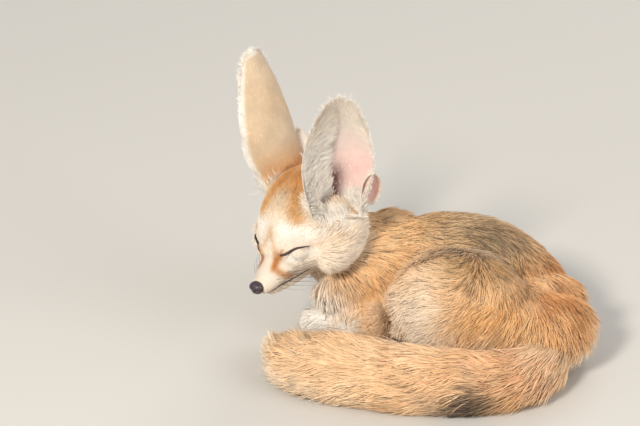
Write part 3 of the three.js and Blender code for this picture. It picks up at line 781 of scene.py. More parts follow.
def tuftMesh(name, roots, rings, chart):
    # each tuft is a flat spindle bent over the skin: a root point, rings of three corners, a tip
    s = np.array([0.0] + list(rings) + [1.0])
    profile = np.array(coatSet["profiles"][len(rings)])
    n = len(roots["points"])
    normal, way = unit(roots["normals"]), roots["way"]
    side = unit(np.cross(way, normal))
    length, lift = roots["length"], roots["lift"]
    spine = (
        (roots["points"] - normal * coatSet["sink"])[:, None]
        + way[:, None] * (length * np.cos(lift))[:, None, None] * s[:, None]
        + normal[:, None] * (length[:, None] * (
            np.sin(lift)[:, None] * (s - coatSet["droop"] * s**2)))[..., None]
        + (side * (roots["curl"] * length)[:, None] + roots["pull"])[:, None] * (s**2)[:, None])
    ahead = unit(spine[:, -1] - spine[:, 0])
    over = unit(normal - ahead * dots(normal, ahead)[:, None])
    side = np.cross(ahead, over)
    angle = np.radians([90, 210, 330])
    half = roots["width"][:, None, None] / 2 * profile[:, None]
    ring = (
        spine[:, 1:-1, None]
        + side[:, None, None] * (half * np.cos(angle))[..., None]
        + over[:, None, None] * (half * coatSet["flat"] * np.sin(angle))[..., None])
    own = side[:, None, None] * np.cos(angle)[:, None] + over[:, None, None] * np.sin(angle)[:, None]
    own = np.broadcast_to(own, ring.shape)
    k = len(rings) * 3
    verts = np.concatenate([spine[:, :1], ring.reshape(n, k, 3), spine[:, -1:]], 1)
    bare = np.zeros((n, 1, 3))
    own = np.concatenate([bare, own.reshape(n, k, 3), bare], 1)
    verts[..., 2] = np.maximum(verts[..., 2], coatSet["floor"] + 0.3 * roots["shade"][:, None])
    faces = [[0, 1 + c, 1 + (c + 1) % 3] for c in range(3)]
    for r in range(len(rings) - 1):
        for c in range(3):
            a, b = 1 + 3 * r + c, 1 + 3 * r + (c + 1) % 3
            faces += [[a, b + 3, b], [a, a + 3, b + 3]]
    faces += [[k + 1, k - 2 + (c + 1) % 3, k - 2 + c] for c in range(3)]
    faces = np.array(faces)
    size = k + 2
    loops = (faces[None] + (np.arange(n) * size)[:, None, None]).reshape(-1)
    mesh = bpy.data.meshes.new(name)
    mesh.vertices.add(n * size)
    mesh.vertices.foreach_set("co", toFrame(verts.reshape(-1, 3)).astype(np.float32).ravel())
    mesh.loops.add(len(loops))
    mesh.loops.foreach_set("vertex_index", loops.astype(np.int32))
    mesh.polygons.add(len(loops) // 3)
    mesh.polygons.foreach_set("loop_start", np.arange(0, len(loops), 3, dtype=np.int32))
    smooth(mesh)
    mesh.update(calc_edges=True)
    level = np.concatenate([[0], np.repeat(s[1:-1], 3), [1]])
    across = np.concatenate([[0], np.tile([0, -0.5, 0.5], len(rings)), [0]])
    patch = np.stack([across, level - 0.5], -1) * coatSet["patch"]
    uv = (chart[:, None] * (1 - 2 * coatSet["patch"]) + coatSet["patch"] + patch).reshape(-1, 2)
    layer = mesh.uv_layers.new(name="OFBake")
    layer.data.foreach_set("uv", uv[loops].astype(np.float32).ravel())
    paint(
        mesh, roots["marks"].repeat(size, 0), along=np.tile(level, n),
        shade=roots["shade"].repeat(size))
    flat = unit(np.cross(
        verts[:, faces[:, 1]] - verts[:, faces[:, 0]], verts[:, faces[:, 2]] - verts[:, faces[:, 0]]))
    facing = (
        flat[:, :, None] + own[:, faces] * coatSet["roundNormal"]
        + normal[:, None, None] * coatSet["skinNormal"])
    short = np.maximum(coatSet["least"] - dots(facing, flat[:, :, None]), 0)
    facing = unit(facing + flat[:, :, None] * short[..., None])
    mesh.normals_split_custom_set(facing.reshape(-1, 3).astype(np.float32))
    return mesh


def grow(name, surface, density, rings, material, slotName, source, chartOf):
    # the coat over a surface, in pieces of which none has more tufts than it may hold
    roots = sampled(surface, density * coatSet["share"], source)
    n = len(roots["points"])
    roots["shade"] = source.random(n)
    roots["length"] = roots["length"] * (1 + coatSet["longer"] * source.uniform(-1, 1, n))
    roots["width"] = roots["width"] * source.uniform(*coatSet["widths"], n)
    roots["curl"] = coatSet["curl"] * (source.uniform(-1, 1, n) + 0.8 * waves(roots["points"], 16, 9))
    normal = unit(roots["normals"])
    turn = coatSet["stray"] * source.normal(size=n) + 0.18 * waves(roots["points"], 22, 8)
    way = unit(roots["flow"] - normal * dots(roots["flow"], normal)[:, None])
    way = way * np.cos(turn)[:, None] + np.cross(normal, way) * np.sin(turn)[:, None]
    roots["way"] = way
    ticked = source.random(n) < roots["tick"]
    roots["marks"] = roots["marks"] * source.uniform(*coatSet["tints"], (n, 1))
    roots["marks"][ticked, 3] = np.maximum(roots["marks"][ticked, 3], coatSet["tickDark"])
    roots["marks"] = np.clip(roots["marks"], 0, 1)
    roots["lift"] = np.radians(roots["lift"]) * source.uniform(*coatSet["lifts"], n)
    middle = clumped(roots["points"], coatSet["clump"], source)
    pull = (middle - roots["points"]) * coatSet["gather"]
    roots["pull"] = pull * np.minimum(1, roots["length"] / coatSet["fullPull"])[:, None]
    most = coatSet["most"] if len(rings) == 1 else int(coatSet["most"] / 2)
    lengths = max(1, math.ceil(n / most))
    for i in range(lengths):
        some = slice(n * i // lengths, n * (i + 1) // lengths)
        part = {key: values[some] for key, values in roots.items()}
        title = name if lengths == 1 else name + "_" + "abcdefgh"[i]
        piece = pieceOf(title, tuftMesh(title, part, rings, chartOf(part)))
        piece.data.materials.append(material)
        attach(piece, "root")
    print("coat", name, n, "tufts in", lengths, "pieces")


# ---- materials ----
def linear(red, green, blue):
    # a display colour from 0 to 255 as the light it stands for
    made = [(c / 255 / 12.92) if c <= 10 else ((c / 255 + 0.055) / 1.055) ** 2.4
            for c in (red, green, blue)]
    return (*made, 1.0)


coatTones = {
    "cream": linear(243, 219, 184), "gold": linear(230, 176, 108), "rust": linear(204, 128, 64),
    "grey": linear(158, 136, 106), "dark": linear(48, 38, 36), "pale": linear(250, 243, 232)}


def wire(tree, source, target):
    tree.links.new(source, target)


def mixed(tree, factor, first, second, blend="MIX"):
    # a mix of two colours; each may be a socket or a value
    node = tree.nodes.new("ShaderNodeMix")
    node.data_type, node.blend_type = "RGBA", blend
    for socket, value in ((node.inputs[0], factor), (node.inputs[6], first), (node.inputs[7], second)):
        if isinstance(value, bpy.types.NodeSocket):
            wire(tree, value, socket)
        else:
            socket.default_value = value
    return node.outputs[2]


def summed(tree, operation, first, second):
    node = tree.nodes.new("ShaderNodeMath")
    node.operation = operation
    for socket, value in zip(node.inputs, (first, second)):
        if isinstance(value, bpy.types.NodeSocket):
            wire(tree, value, socket)
        else:
            socket.default_value = value
    return node.outputs[0]


def noise(tree, vector, scale, detail=2.0):
    node = tree.nodes.new("ShaderNodeTexNoise")
    node.inputs["Scale"].default_value = scale
    node.inputs["Detail"].default_value = detail
    wire(tree, vector, node.inputs["Vector"])
    return node.outputs[0]


def spanOf(tree, value, low, high, lowest, highest):
    node = tree.nodes.new("ShaderNodeMapRange")
    wire(tree, value, node.inputs[0])
    for socket, number in zip(node.inputs[1:5], (low, high, lowest, highest)):
        socket.default_value = number
    return node.outputs[0]


def tintGroup():
    # the coat's colour from its markings, varied from tuft to tuft and from root to tip
    group = bpy.data.node_groups.new("coatTint", "ShaderNodeTree")
    for name, kind in (
        ("Marking", "NodeSocketColor"), ("Pale", "NodeSocketFloat"), ("Along", "NodeSocketFloat"),
        ("Shade", "NodeSocketFloat"), ("Place", "NodeSocketVector"), ("Root", "NodeSocketFloat"),
        ("Tip", "NodeSocketFloat")):
        group.interface.new_socket(name=name, in_out="INPUT", socket_type=kind)
    group.interface.new_socket(name="Color", in_out="OUTPUT", socket_type="NodeSocketColor")
    given, out = group.nodes.new("NodeGroupInput"), group.nodes.new("NodeGroupOutput")
    split = group.nodes.new("ShaderNodeSeparateColor")
    wire(group, given.outputs["Marking"], split.inputs[0])
    color = coatTones["cream"]
    for tone, socket in zip(("gold", "rust", "grey"), split.outputs):
        color = mixed(group, socket, color, coatTones[tone])
    color = mixed(group, given.outputs["Pale"], color, coatTones["pale"])
    cloud = spanOf(group, noise(group, given.outputs["Place"], 90.0), 0.3, 0.7, 0.9, 1.06)
    fine = spanOf(group, given.outputs["Shade"], 0, 1, 0.8, 1.1)
    rise = summed(group, "MULTIPLY", given.outputs["Along"], summed(
        group, "SUBTRACT", given.outputs["Tip"], given.outputs["Root"]))
    level = summed(group, "ADD", given.outputs["Root"], rise)
    total = summed(group, "MULTIPLY", summed(group, "MULTIPLY", cloud, fine), level)
    gray = group.nodes.new("ShaderNodeCombineColor")
    for socket in gray.inputs[:3]:
        wire(group, total, socket)
    wire(group, mixed(group, 1.0, color, gray.outputs[0], "MULTIPLY"), out.inputs["Color"])
    return group


def attribute(tree, name, output="Fac"):
    node = tree.nodes.new("ShaderNodeAttribute")
    node.attribute_name = name
    return node.outputs[output]


def lookOf(name, **settings):
    # a new material, its node tree and its shader with the named inputs set
    material = bpy.data.materials.new(name)
    material.use_nodes = True
    shader = material.node_tree.nodes["Principled BSDF"]
    for key, value in settings.items():
        shader.inputs[key.replace("_", " ")].default_value = value
    return material, material.node_tree, shader


def coated(name, root, tip, bare=False):
    # fur: tinted by its markings; bare adds the pink skin inside the ears, the painted shade of the ear
    # canals and channels, and the short fur's grain
    material, tree, shader = lookOf(
        name, Roughness=0.85, Specular_IOR_Level=0.25, Sheen_Weight=0.25, Sheen_Roughness=0.45)
    place = tree.nodes.new("ShaderNodeTexCoord").outputs["Object"]
    tint = tree.nodes.new("ShaderNodeGroup")
    tint.node_tree = tintSet
    tint.inputs["Root"].default_value, tint.inputs["Tip"].default_value = root, tip
    wire(tree, attribute(tree, "marking", "Color"), tint.inputs["Marking"])
    wire(tree, attribute(tree, "pale"), tint.inputs["Pale"])
    wire(tree, attribute(tree, "along"), tint.inputs["Along"])
    wire(tree, attribute(tree, "shade"), tint.inputs["Shade"])
    wire(tree, place, tint.inputs["Place"])
    tipped = spanOf(tree, attribute(tree, "along"), 0, 1, 1.0 if bare else 0.5, 1.0)
    darkness = summed(tree, "MULTIPLY", attribute(tree, "marking", "Alpha"), tipped)
    color = mixed(tree, darkness, tint.outputs[0], coatTones["dark"])
    if bare:
        flesh = mixed(tree, noise(tree, place, 160.0, 3.0), earTones["deep"], earTones["skin"])
        color = mixed(tree, attribute(tree, "bare"), color, flesh)
        # painted shade: the ear canals, the channels up the ears and the folds' bowls are darkened
        # towards a dark maroon
        color = mixed(tree, attribute(tree, "canal"), color, earTones["canal"])
        grain = tree.nodes.new("ShaderNodeBump")
        grain.inputs["Strength"].default_value = 0.5
        grain.inputs["Distance"].default_value = 0.0004
        wire(tree, noise(tree, place, 900.0, 4.0), grain.inputs["Height"])
        wire(tree, grain.outputs[0], shader.inputs["Normal"])
    wire(tree, color, shader.inputs["Base Color"])
    return material


def leathery(name, low, high, rough, scale, depth, coat=0.0):
    # bare skin: two tones, pebbled by rounded cells
    material, tree, shader = lookOf(name, Roughness=rough, Coat_Weight=coat, Coat_Roughness=0.3)
    place = tree.nodes.new("ShaderNodeTexCoord").outputs["Object"]
    cells = tree.nodes.new("ShaderNodeTexVoronoi")
    cells.inputs["Scale"].default_value = scale
    wire(tree, place, cells.inputs["Vector"])
    grain = tree.nodes.new("ShaderNodeBump")
    grain.inputs["Strength"].default_value = 0.7
    grain.inputs["Distance"].default_value = depth
    grain.invert = True
    wire(tree, cells.outputs["Distance"], grain.inputs["Height"])
    wire(tree, grain.outputs[0], shader.inputs["Normal"])
    blend = spanOf(tree, noise(tree, place, scale * 0.3), 0.3, 0.7, 0.0, 1.0)
    wire(tree, mixed(tree, blend, low, high), shader.inputs["Base Color"])
    return material


# canal is a painted shade colour: the dark of the ear canals' depths
earTones = {
    "skin": linear(238, 206, 196), "deep": linear(220, 160, 152), "canal": linear(84, 38, 40)}
tintSet = tintGroup()
skinLook = coated("skin_and_underfur", 0.78, 0.78, bare=True)
coatLook = coated("coat_hair", 0.74, 1.1)
tailLook = coated("tail_hair", 0.7, 1.16)
faceLook = coated("face_hair", 0.74, 1.08)
noseLook = leathery(
    "nose_leather", linear(40, 30, 36), linear(70, 52, 58), 0.4, 2600, 0.0002, 0.35)
rimLook = leathery("lid_rims", linear(38, 26, 24), linear(70, 46, 38), 0.5, 3000, 0.0001, 0.1)
clawLook = leathery("claw_horn", linear(84, 66, 54), linear(150, 124, 100), 0.38, 500, 0.0001)
whiskerLook = leathery("whiskers", linear(60, 48, 42), linear(120, 100, 84), 0.5, 800, 0.00005)

# ---- the ears' skin: closed sheets with their fields of hair, and the folds at their feet ----
def earSheet(side):
    # the outer face from one margin to the other and the inner one back, row by row to the tip
    root, ways, length, outer = earFrame(side)
    rows, columns = ear["rows"], ear["columns"]
    shape = curveAt(ear["shape"], np.linspace(0, 1, rows))
    t, girth, wrap = shape[:, 0], shape[:, 1] - 0.8, np.radians(shape[:, 2])
    radius = girth / wrap
    s = np.sin(np.linspace(-np.pi / 2, np.pi / 2, columns))
    s = np.concatenate([s, s[-2:0:-1]])
    face = np.concatenate([np.ones(columns), -np.ones(columns - 2)])
    half = ear["thick"] / 2 * np.sqrt(1 - np.abs(s) ** 6) * (1 - 0.35 * np.abs(s) ** 2)
    r = radius[:, None] + face * half
    turn = s * wrap[:, None]
    behind = -ear["poses"][side]["bow"] * np.sin(np.pi * t)
    local = np.stack(np.broadcast_arrays(
        r * np.sin(turn), radius[:, None] - r * np.cos(turn) + behind[:, None],
        (t * length)[:, None]), -1)
    poles = np.array([[0, radius[0] * 0.8, -1.5], [0, behind[-1], length + 0.8]])
    ends = poles @ ways + root
    points, quads, fans = closedGrid(local @ ways + root, ends[0], ends[1])

    def flat(values, first, last):
        # a value for each point, with those of the two poles at the ends
        grid = np.broadcast_to(values, (rows, 2 * columns - 2))
        return np.concatenate([[first], grid.ravel(), [last]])

    return {
        "points": points, "quads": quads, "fans": fans, "axis": ways[2], "across": ways[0],
        "t": flat(t[:, None], 0, 1), "s": flat(s, 0, 0) * outer, "face": flat(face, 1, 1),
        "outer": outer}


def earFields(sheet, facesOut):
    # how the hair lies, how long it is, and its colour on one face of the ear
    triangles = trianglesOf(sheet["quads"], sheet["fans"])
    points, t, s = sheet["points"], sheet["t"], sheet["s"]
    normals = normalsOf(points, triangles)
    toOuter = sheet["across"] * sheet["outer"]
    margin = np.abs(s)
    inner = ramp(0.1, 0.8, -s)  # the margin towards the other ear
    surface = {
        "points": points, "triangles": triangles, "normals": normals, "t": t, "s": s, "tick": 0 * t}
    if facesOut:
        surface["flow"] = sheet["axis"] + toOuter * (s * 0.5 * margin)[:, None]
        surface["length"] = 3.4 + 3.5 * ramp(0.25, 0, t) + 1.2 * ramp(0.75, 1, margin)
        surface["width"] = 0.5 + 0.1 * ramp(0.3, 0, t)
        surface["lift"] = 15 + 12 * ramp(0.8, 1, margin)
        rim = np.maximum(ramp(0.8, 0.95, margin), ramp(0.955, 0.99, t))
        base = ramp(0.42, 0.08, t) * ramp(1.0, 0.6, margin)
        warm = 0.42 + 0.3 * base + 0.12 * waves(points, 30, 12)
        surface["marks"] = np.clip(np.stack([
            warm * (1 - rim), 0.55 * base * (1 - rim), 0.16 * (1 - base) * (1 - rim), 0 * t,
            0.95 * rim + 0.16 * (1 - base)], -1), 0, 1)
        surface["density"] = np.where(sheet["face"] > 0, 2.3, 0) * ramp(-0.02, 0.03, t)
        return surface
    long = ramp(-0.05, 0.55, -s) * ramp(0.98, 0.6, t) * ramp(0.03, 0.2, t)
    low = ramp(0.22, 0.04, t) * np.maximum(ramp(0.1, -0.3, s), ramp(0.3, 0.8, s))
    fringe = ramp(-0.7, -0.92, s) * ramp(0.42, 0.16, t)
    rim = ramp(0.84, 0.97, margin)
    tip = ramp(0.45, 0.8, t)
    surface["flow"] = (
        sheet["axis"] * (0.55 + 0.5 * tip)[:, None]
        + toOuter * (1.7 * long - 0.7 * ramp(0.2, 0.8, s) + rim * np.sign(s) * 1.2 - fringe)[:, None])
    surface["length"] = (
        3.0 + 11 * long * (1 - rim) + 1.4 * tip + 1.2 * rim + 7 * low + 9 * fringe)
    surface["width"] = 0.36 + 0.26 * long
    surface["lift"] = 18 + 24 * long + 12 * rim + 16 * low + 16 * fringe
    surface["marks"] = np.clip(np.stack([
        0.06 + 0.12 * tip + 0.2 * rim, 0 * t, 0.2 * tip * (1 - rim), 0 * t,
        0.92 - 0.2 * tip], -1), 0, 1)
    hairy = 1.2 + 1.3 * long + 1.3 * tip + 2.2 * rim + 0.4 * inner + 1.8 * low + 1.5 * fringe
    surface["density"] = np.where(sheet["face"] < 0, hairy, 0) * ramp(0.0, 0.05, t)
    return surface


def earPouch(side):
    # the small fold at the foot of the outer margin: an egg whose front is pressed in to a bowl
    root, ways, length, outer = earFrame(side)
    ball, quads, fans = egg([0, 0, 0], [1, 1, 1], 0, 56)
    x, y, z = ball.T
    pressed = np.stack([x, y * (1 - 1.6 * ramp(0.05, 0.6, y)), z], -1)
    local = pressed * ear["pouch"]["half"] + np.array(ear["pouch"]["at"]) * [outer, 1, 1]
    points = local @ ways + root
    triangles = trianglesOf(quads, fans)
    n = len(points)
    bowl = ramp(0.3, 0.65, y)
    one = np.ones(n)
    return {
        "points": points, "triangles": triangles, "normals": normalsOf(points, triangles),
        "quads": quads, "fans": fans, "bowl": bowl, "s": x * outer, "t": (z + 1) / 2,
        "flow": np.tile(ways[2], (n, 1)) + ways[0] * (outer * x * 0.5)[:, None], "length": 3.2 * one,
        "width": 0.42 * one, "lift": 22 * one, "tick": 0 * one, "density": 2.6 * (1 - 0.85 * bowl),
        "marks": np.stack([0.25 * one, 0 * one, 0 * one, 0 * one, 0.7 * one], -1)}


sheets = {side: earSheet(side) for side in ear["poses"]}
pouches = {side: earPouch(side) for side in ear["poses"]}


def dressSkin():
    # the skin takes the ears' sheets in, and the markings, bare skin and the painted shade of the ear
    # canals as attributes
    allFaces = [list(polygon.vertices) for polygon in skin.data.polygons]
    allPoints, marks = [points], [markings]
    # where the skull is let down inside the ears, the skin gets painted shade as well as bare skin
    bare, canal, start = [0.5 * earDeep], [0.9 * earDeep], len(points)
    for sheet in sheets.values():
        outside, inside = earFields(sheet, True), earFields(sheet, False)
        within = (sheet["face"] < 0)[:, None]
        allPoints.append(sheet["points"])
        marks.append(np.where(within, inside["marks"], outside["marks"]))
        t, s = sheet["t"], sheet["s"]
        shows = np.where(sheet["face"] < 0, 1.0, 0.0)
        shown = ramp(0.8, 0.3, t) * ramp(0.06, 0.2, t)
        bare.append(shows * (0.1 + 0.65 * ramp(-0.5, 0.5, s)) * shown)
        # painted shade: a channel darkened up the inside of each ear, darkest at the canal's opening at
        # the ear's foot
        shadow = 0.6 * ramp(0.8, 0.35, t) * bump(-0.16, 0.2, s)
        canal.append(shows * np.maximum(ramp(0.42, 0.2, t) * bump(0.02, 0.26, s), shadow))
        allFaces += (sheet["quads"] + start).tolist() + (sheet["fans"] + start).tolist()
        start += len(sheet["points"])
    for pouch in pouches.values():
        allPoints.append(pouch["points"])
        marks.append(pouch["marks"])
        bare.append(0.9 * pouch["bowl"])
        # painted shade in the fold's bowl, darker towards one side
        canal.append(0.25 * pouch["bowl"] * ramp(0.2, -0.5, pouch["s"]))
        allFaces += (pouch["quads"] + start).tolist() + (pouch["fans"] + start).tolist()
        start += len(pouch["points"])
    every = np.vstack(allPoints)
    mesh = meshOf("skin", toFrame(every), allFaces)
    smooth(mesh)
    n = len(every)
    paint(
        mesh, np.vstack(marks), along=np.zeros(n), shade=np.full(n, 0.5), bare=np.concatenate(bare),
        canal=np.concatenate(canal))
    old, skin.data = skin.data, mesh
    bpy.data.meshes.remove(old)
    mesh.materials.append(skinLook)


dressSkin()
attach(skin, "root")
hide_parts(*[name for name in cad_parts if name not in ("nose", "eye_left", "eye_right")])
print("stage 4: the skin is dressed")


# ---- nose, lid rims, claws and whiskers ----
def smoothPiece(name, points, faces, material):
    mesh = meshOf(name, toFrame(points), faces)
    smooth(mesh)
    mesh.materials.append(material)
    piece = pieceOf(name, mesh)
    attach(piece, "root")
    return piece


noseSet = {
    "at": [29.6, 0, -11.4], "half": [4.3, 5.2, 4.6],
    "nostril": [3.9, 2.4, -0.6], "nostrilSize": [1.6, 1.3, 1.1], "nostrilDepth": 2.3,
    "slit": [2.3, 4.1, -1.2], "slitSize": [2.2, 1.2, 0.5], "slitDepth": 1.1,
    "groove": 0.45, "grooveDepth": 0.7}


def nosePad():
    # an egg pressed in by bell-shaped dents: two nostrils, their side slits and the middle groove
    local, quads, fans = egg([0, 0, 0], noseSet["half"], 0, 128)
    f, l, u = local.T
    side = np.abs(l)
    away = unit(local / np.array(noseSet["half"]) ** 2)

    def dent(place, size):
        return np.exp(-sum(((value - at) / reach) ** 2 for value, at, reach in zip(
            (f, side, u), place, size)))

    press = noseSet["nostrilDepth"] * dent(noseSet["nostril"], noseSet["nostrilSize"])
    press += noseSet["slitDepth"] * dent(noseSet["slit"], noseSet["slitSize"])
    press += noseSet["grooveDepth"] * bump(0, noseSet["groove"], l) * ramp(0.6, -1.4, u) * ramp(0, 2, f)
    local = local - away * press[:, None]
    local[:, 2] -= 0.5 * ramp(2, 4.6, local[:, 2])  # the top is a little flat
    points = fromHead(local + np.array(noseSet["at"]))
    piece = smoothPiece("nose_pad", points, quads.tolist() + fans.tolist(), noseLook)
    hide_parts("nose")


def tubes(paths, radii, sides=8):
    # closed tubes: circles of each radius round the points of each path, shut at both ends
    verts, faces, start = [], [], 0
    for path, radius in zip(paths, radii):
        path = np.asarray(path, float)
        along = unit(np.gradient(path, axis=0))
        across = unit(np.cross(along, [0.13, 0.31, 0.94]))
        up = np.cross(along, across)
        angle = np.linspace(0, 2 * np.pi, sides, endpoint=False)
        ring = across[:, None] * np.cos(angle)[:, None] + up[:, None] * np.sin(angle)[:, None]
        rows = path[:, None] + ring * np.asarray(radius, float)[:, None, None]
        made, quads, fans = closedGrid(
            rows, path[0] - along[0] * radius[0], path[-1] + along[-1] * radius[-1])
        verts.append(made)
        faces += (quads + start).tolist() + (fans + start).tolist()
        start += len(made)
    return np.vstack(verts), faces


def onSkin(places, lift):
    # the nearest points of the skin to places in the head's frame, raised by lift
    made = []
    for place, rise in zip(fromHead(places), np.broadcast_to(lift, len(places))):
        spot, normal, index, far = skinTree.find_nearest(place.tolist())
        made.append(np.array(spot) + np.array(normal) * rise)
    return np.array(made)


skinTree = BVHTree.FromPolygons(points.tolist(), triangles.tolist())
lidSet = {
    "course": [
        [8, 9.2, 0.2], [5.6, 12, 0.1], [3, 14.6, 0.8], [0.9, 17.5, 1.6], [-1.4, 20, 1.5],
        [-4, 21.8, 0.6], [-6.8, 23.2, -0.8]],
    "rim": 1.35, "lashes": 17, "lash": 4, "outwards": [0.5, 1, -0.9]}


def lidRims(side, name, node):
    # the dark rims where the lids meet, thicker at the nose's end, with a row of lashes
    share = np.linspace(0, 1, 40)
    course = curveAt(lidSet["course"], share) * [1, side, 1]
    path = spreadAlong(onSkin(course, 0.1), 3)
    radius = lidSet["rim"] * (1 - 0.72 * share) * np.sin(np.pi * (0.1 + 0.84 * share)) ** 0.5
    paths, radii = [path], [radius]
    source = np.random.default_rng(41)
    away = unit(np.array(lidSet["outwards"]) * [1, side, 1]) @ headWays
    steps = np.linspace(0, 1, 6)[:, None]
    for i in range(lidSet["lashes"]):
        place = 0.16 + 0.76 * i / (lidSet["lashes"] - 1)
        at = path[int(place * 39)]
        arch = math.sin(math.pi * (0.2 + 0.6 * place))
        long = lidSet["lash"] * (0.6 + 0.4 * source.random()) * arch
        way = unit(away - 0.5 * headWays[0] * (place - 0.2) + 0.12 * source.normal(size=3))
        paths.append(at + way * long * steps * 0.8 - headWays[2] * 0.35 * long * steps**2)
        radii.append(0.15 * (1 - 0.85 * steps[:, 0]))
    points, faces = tubes(paths, radii, 7)
    piece = smoothPiece(name, points, faces, rimLook)
    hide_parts(node)


def spreadAlong(path, rounds):
    # a path with its kinks smoothed out, the ends kept
    path = path.copy()
    for turn in range(rounds):
        path[1:-1] = path[1:-1] / 2 + (path[:-2] + path[2:]) / 4
    return path


lipSet = {
    "course": [
        [27.5, 1.6, -17], [24, 5, -18.6], [18.5, 7.6, -19.8], [11, 9.8, -21], [3, 12.4, -21.6],
        [-4, 15.4, -21]],
    "thick": 0.55}


def mouthLine():
    # the dark edge of the lips on both sides, thinning out below the cheeks
    share = np.linspace(0, 1, 44)
    paths, radii = [], []
    for side in (1, -1):
        course = curveAt(lipSet["course"], share) * [1, side, 1]
        paths.append(spreadAlong(onSkin(course, 0.05), 4))
        radii.append(lipSet["thick"] * np.sin(np.pi * (0.12 + 0.8 * share)) ** 0.5)
    points, faces = tubes(paths, radii, 8)
    smoothPiece("lips", points, faces, rimLook)


claw = {"start": 3.6, "reach": 4.2, "low": 0.6, "hook": 2.4, "thick": 1.0, "floor": 0.2}


def clawsOf():
    # a bent cone at the end of every toe
    paths, radii = [], []
    s = np.linspace(0, 1, 7)[:, None]
    ahead, fall = claw["start"] + claw["reach"] * s, claw["low"] + claw["hook"] * s**2
    for form in body.values():
        turn, middles = toesOf(form)
        for middle in middles:
            paths.append(middle + turn[0] * ahead - turn[2] * fall)
            radii.append(claw["thick"] * (1 - 0.82 * s[:, 0]))
    points, faces = tubes(paths, radii, 10)
    points[:, 2] = np.maximum(points[:, 2], claw["floor"])
    smoothPiece("claws", points, faces, clawLook)


whiskerSet = {"rows": 4, "count": 4, "length": 34, "thick": 0.14}


def whiskersOf():
    # fine bent hairs from rows on the muzzle's sides, longer towards the back
    source = np.random.default_rng(8)
    paths, radii = [], []
    for side in (1, -1):
        for row in range(whiskerSet["rows"]):
            for i in range(whiskerSet["count"]):
                root = np.array([19.5 - 3.6 * i, side * (8.3 + 1.15 * i), -11.5 - 2.4 * row])
                long = whiskerSet["length"] * (0.55 + 0.15 * i) * source.uniform(0.85, 1.1)
                way = unit(np.array([-0.55 - 0.1 * i, side * 1.0, 0.12 - 0.22 * row]))
                s = np.linspace(0, 1, 12)[:, None]
                bend = np.array([-0.34, 0, -0.2]) * long * s**2
                paths.append(fromHead(root + way * long * s * 0.8 + bend))
                radii.append(whiskerSet["thick"] * (1 - 0.85 * s[:, 0]))
    points, faces = tubes(paths, radii, 6)
    smoothPiece("whiskers", points, faces, whiskerLook)


nosePad()
lidRims(1, "lid_rims_left", "eye_left")
lidRims(-1, "lid_rims_right", "eye_right")
mouthLine()
clawsOf()
whiskersOf()
print("stage 5: nose, lids, claws and whiskers are made")

# ---- coats ----
def surfaceOfSkin():
    kinds = fields["kinds"]
    surface = {
        "points": points, "triangles": triangles, "normals": normals, "flow": fields["flow"],
        "length": kinds[:, 0].copy(), "width": kinds[:, 1].copy(), "lift": kinds[:, 2].copy(),
        "density": kinds[:, 3].copy(), "owner": fields["owner"],
        "t": fields["t"], "round": fields["round"], "tick": ticks}
    f = fields["head"][:, 0]
    share = fields["share"]
    surface["length"] *= 1 - 0.55 * share["skull"] * ramp(-34, -2, f)
    surface["length"] *= 1 - 0.5 * share["tail"] * ramp(0.74, 0.9, fields["tailT"])
    surface["density"] *= ramp(1, 4, points[:, 2]) * 0.75 + 0.25
    surface["density"] *= 1 - earDeep
    marks = markings.copy()
    for side in ear["poses"]:
        # the hair round an ear's root lies up the ear, longest and whitest before its opening
        root, ways, length, outer = earFrame(side)
        away = points - root
        near = ramp(31, 16, np.linalg.norm(away, axis=1))
        front = ramp(0, 11, away @ ways[1]) * near
        fan = ways[2] * 1.0 + unit(away) * 0.45
        surface["flow"] = unit(surface["flow"] * (1 - near[:, None]) + fan * near[:, None])
        surface["length"] = surface["length"] * (1 - near) + near * 6 + front * 10
        surface["width"] = surface["width"] + 0.15 * front
        surface["lift"] = surface["lift"] + 8 * near + 14 * front
        marks[:, 4] = np.maximum(marks[:, 4], 0.85 * front)
        marks[:, :2] *= (1 - 0.8 * front)[:, None]
    surface["marks"] = marks
    return surface


coatGroups = [
    # name, forms, rings of a tuft, material slot
    ("coat_torso", ["torso", "withers"], [0.42], "coat_sand"),
    ("coat_rump", ["rump", "haunch"], [0.42], "coat_cream"),
    ("coat_thigh", ["thigh"], [0.42], "coat_cream"),
    ("coat_neck", ["neck"], [0.42], "coat_sand"),
    ("coat_legs", [name for name in body if "leg" in name or "paw" in name or "foot" in name], [0.42],
     "coat_white"),
    ("coat_tail", ["tail"], [0.28, 0.66], "coat_sand"),
    ("coat_crown", ["skull"], [0.42], "coat_cream"),
    ("coat_cheeks", ["cheekLeft", "cheekRight"], [0.42], "coat_white"),
    ("coat_face", ["muzzle", "jaw", "lidLeft", "lidRight"], [0.42], "coat_white")]


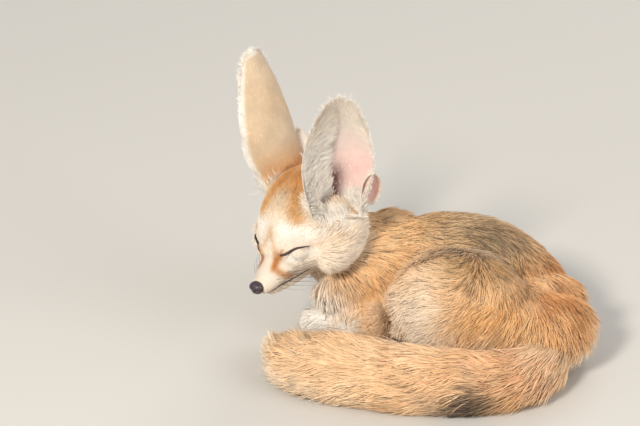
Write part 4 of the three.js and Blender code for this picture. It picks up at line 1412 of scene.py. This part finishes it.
def growCoats():
    surface = surfaceOfSkin()
    source = np.random.default_rng(2026)
    for name, forms, rings, slotName in coatGroups:
        numbers = [fields["names"].index(form) for form in forms]
        mine = np.isin(surface["owner"], numbers)
        density = surface["density"] * mine

        def chart(part):
            # each form is unrolled round its own middle line, side by side with the others
            place = np.searchsorted(np.sort(numbers), part["owner"]).clip(0, len(numbers) - 1)
            across = np.mod(part["round"] / (2 * np.pi), 1)
            return np.stack([(place + across) / len(numbers), np.clip(part["t"], 0, 1)], -1)

        look = {"coat_tail": tailLook, "coat_face": faceLook}.get(name, coatLook)
        grow(name, surface, density, rings, look, slotName, source, chart)
    for side, sheet in sheets.items():
        for facesOut, word in ((True, "back"), (False, "inside")):
            ears = earFields(sheet, facesOut)
            grow(
                f"coat_ear_{side}_{word}", ears, ears["density"], [0.42], faceLook,
                "coat_sand" if facesOut else "coat_white", source,
                lambda part: np.stack([part["s"] / 2 + 0.5, part["t"]], -1))
    for side, pouch in pouches.items():
        folds = {key: values for key, values in pouch.items() if key not in ("quads", "fans", "bowl")}
        grow(
            f"coat_ear_{side}_fold", folds, folds["density"], [0.42], faceLook, "coat_white", source,
            lambda part: np.stack([part["s"] / 2 + 0.5, part["t"]], -1))


growCoats()
print("stage 6: the coat is grown")


# ---- floor and light ----
def studio():
    size = 4.0
    corners = [[-size, -size, 0], [size, -size, 0], [size, size, 0], [-size, size, 0]]
    floor = pieceOf("floor", meshOf("floor", corners, [[0, 1, 2, 3]]))
    look = lookOf("pale floor", Base_Color=linear(206, 201, 192), Roughness=0.8)
    floor.data.materials.append(look[0])
    lights = [  # name, place, power in watts, size, colour
        ("key", (-0.9, -1.7, 1.5), 50, 0.42, (1.0, 0.96, 0.9)),
        ("fill", (1.6, -1.1, 0.9), 20, 1.4, (0.96, 0.98, 1.0)),
        ("rim", (0.5, 1.6, 1.3), 10, 0.9, (1.0, 0.97, 0.92))]
    for name, place, power, width, color in lights:
        lamp = bpy.data.lights.new(name, "AREA")
        lamp.energy, lamp.size, lamp.color = power, width, color
        piece = pieceOf(name, lamp)
        spot = np.array(place)
        ahead = unit(np.array([0, 0, 0.07]) - spot)
        sideways = unit(np.cross(ahead, [0, 0, 1]))
        stand(piece, sideways, np.cross(sideways, ahead), -ahead, spot)
    world = bpy.data.worlds.new("studio")
    world.use_nodes = True
    world.node_tree.nodes["Background"].inputs["Color"].default_value = (0.93, 0.95, 1.0, 1)
    world.node_tree.nodes["Background"].inputs["Strength"].default_value = 0.5
    bpy.context.scene.world = world
    bpy.context.scene.view_settings.view_transform = "Standard"


studio()
bpy.context.view_layer.update()
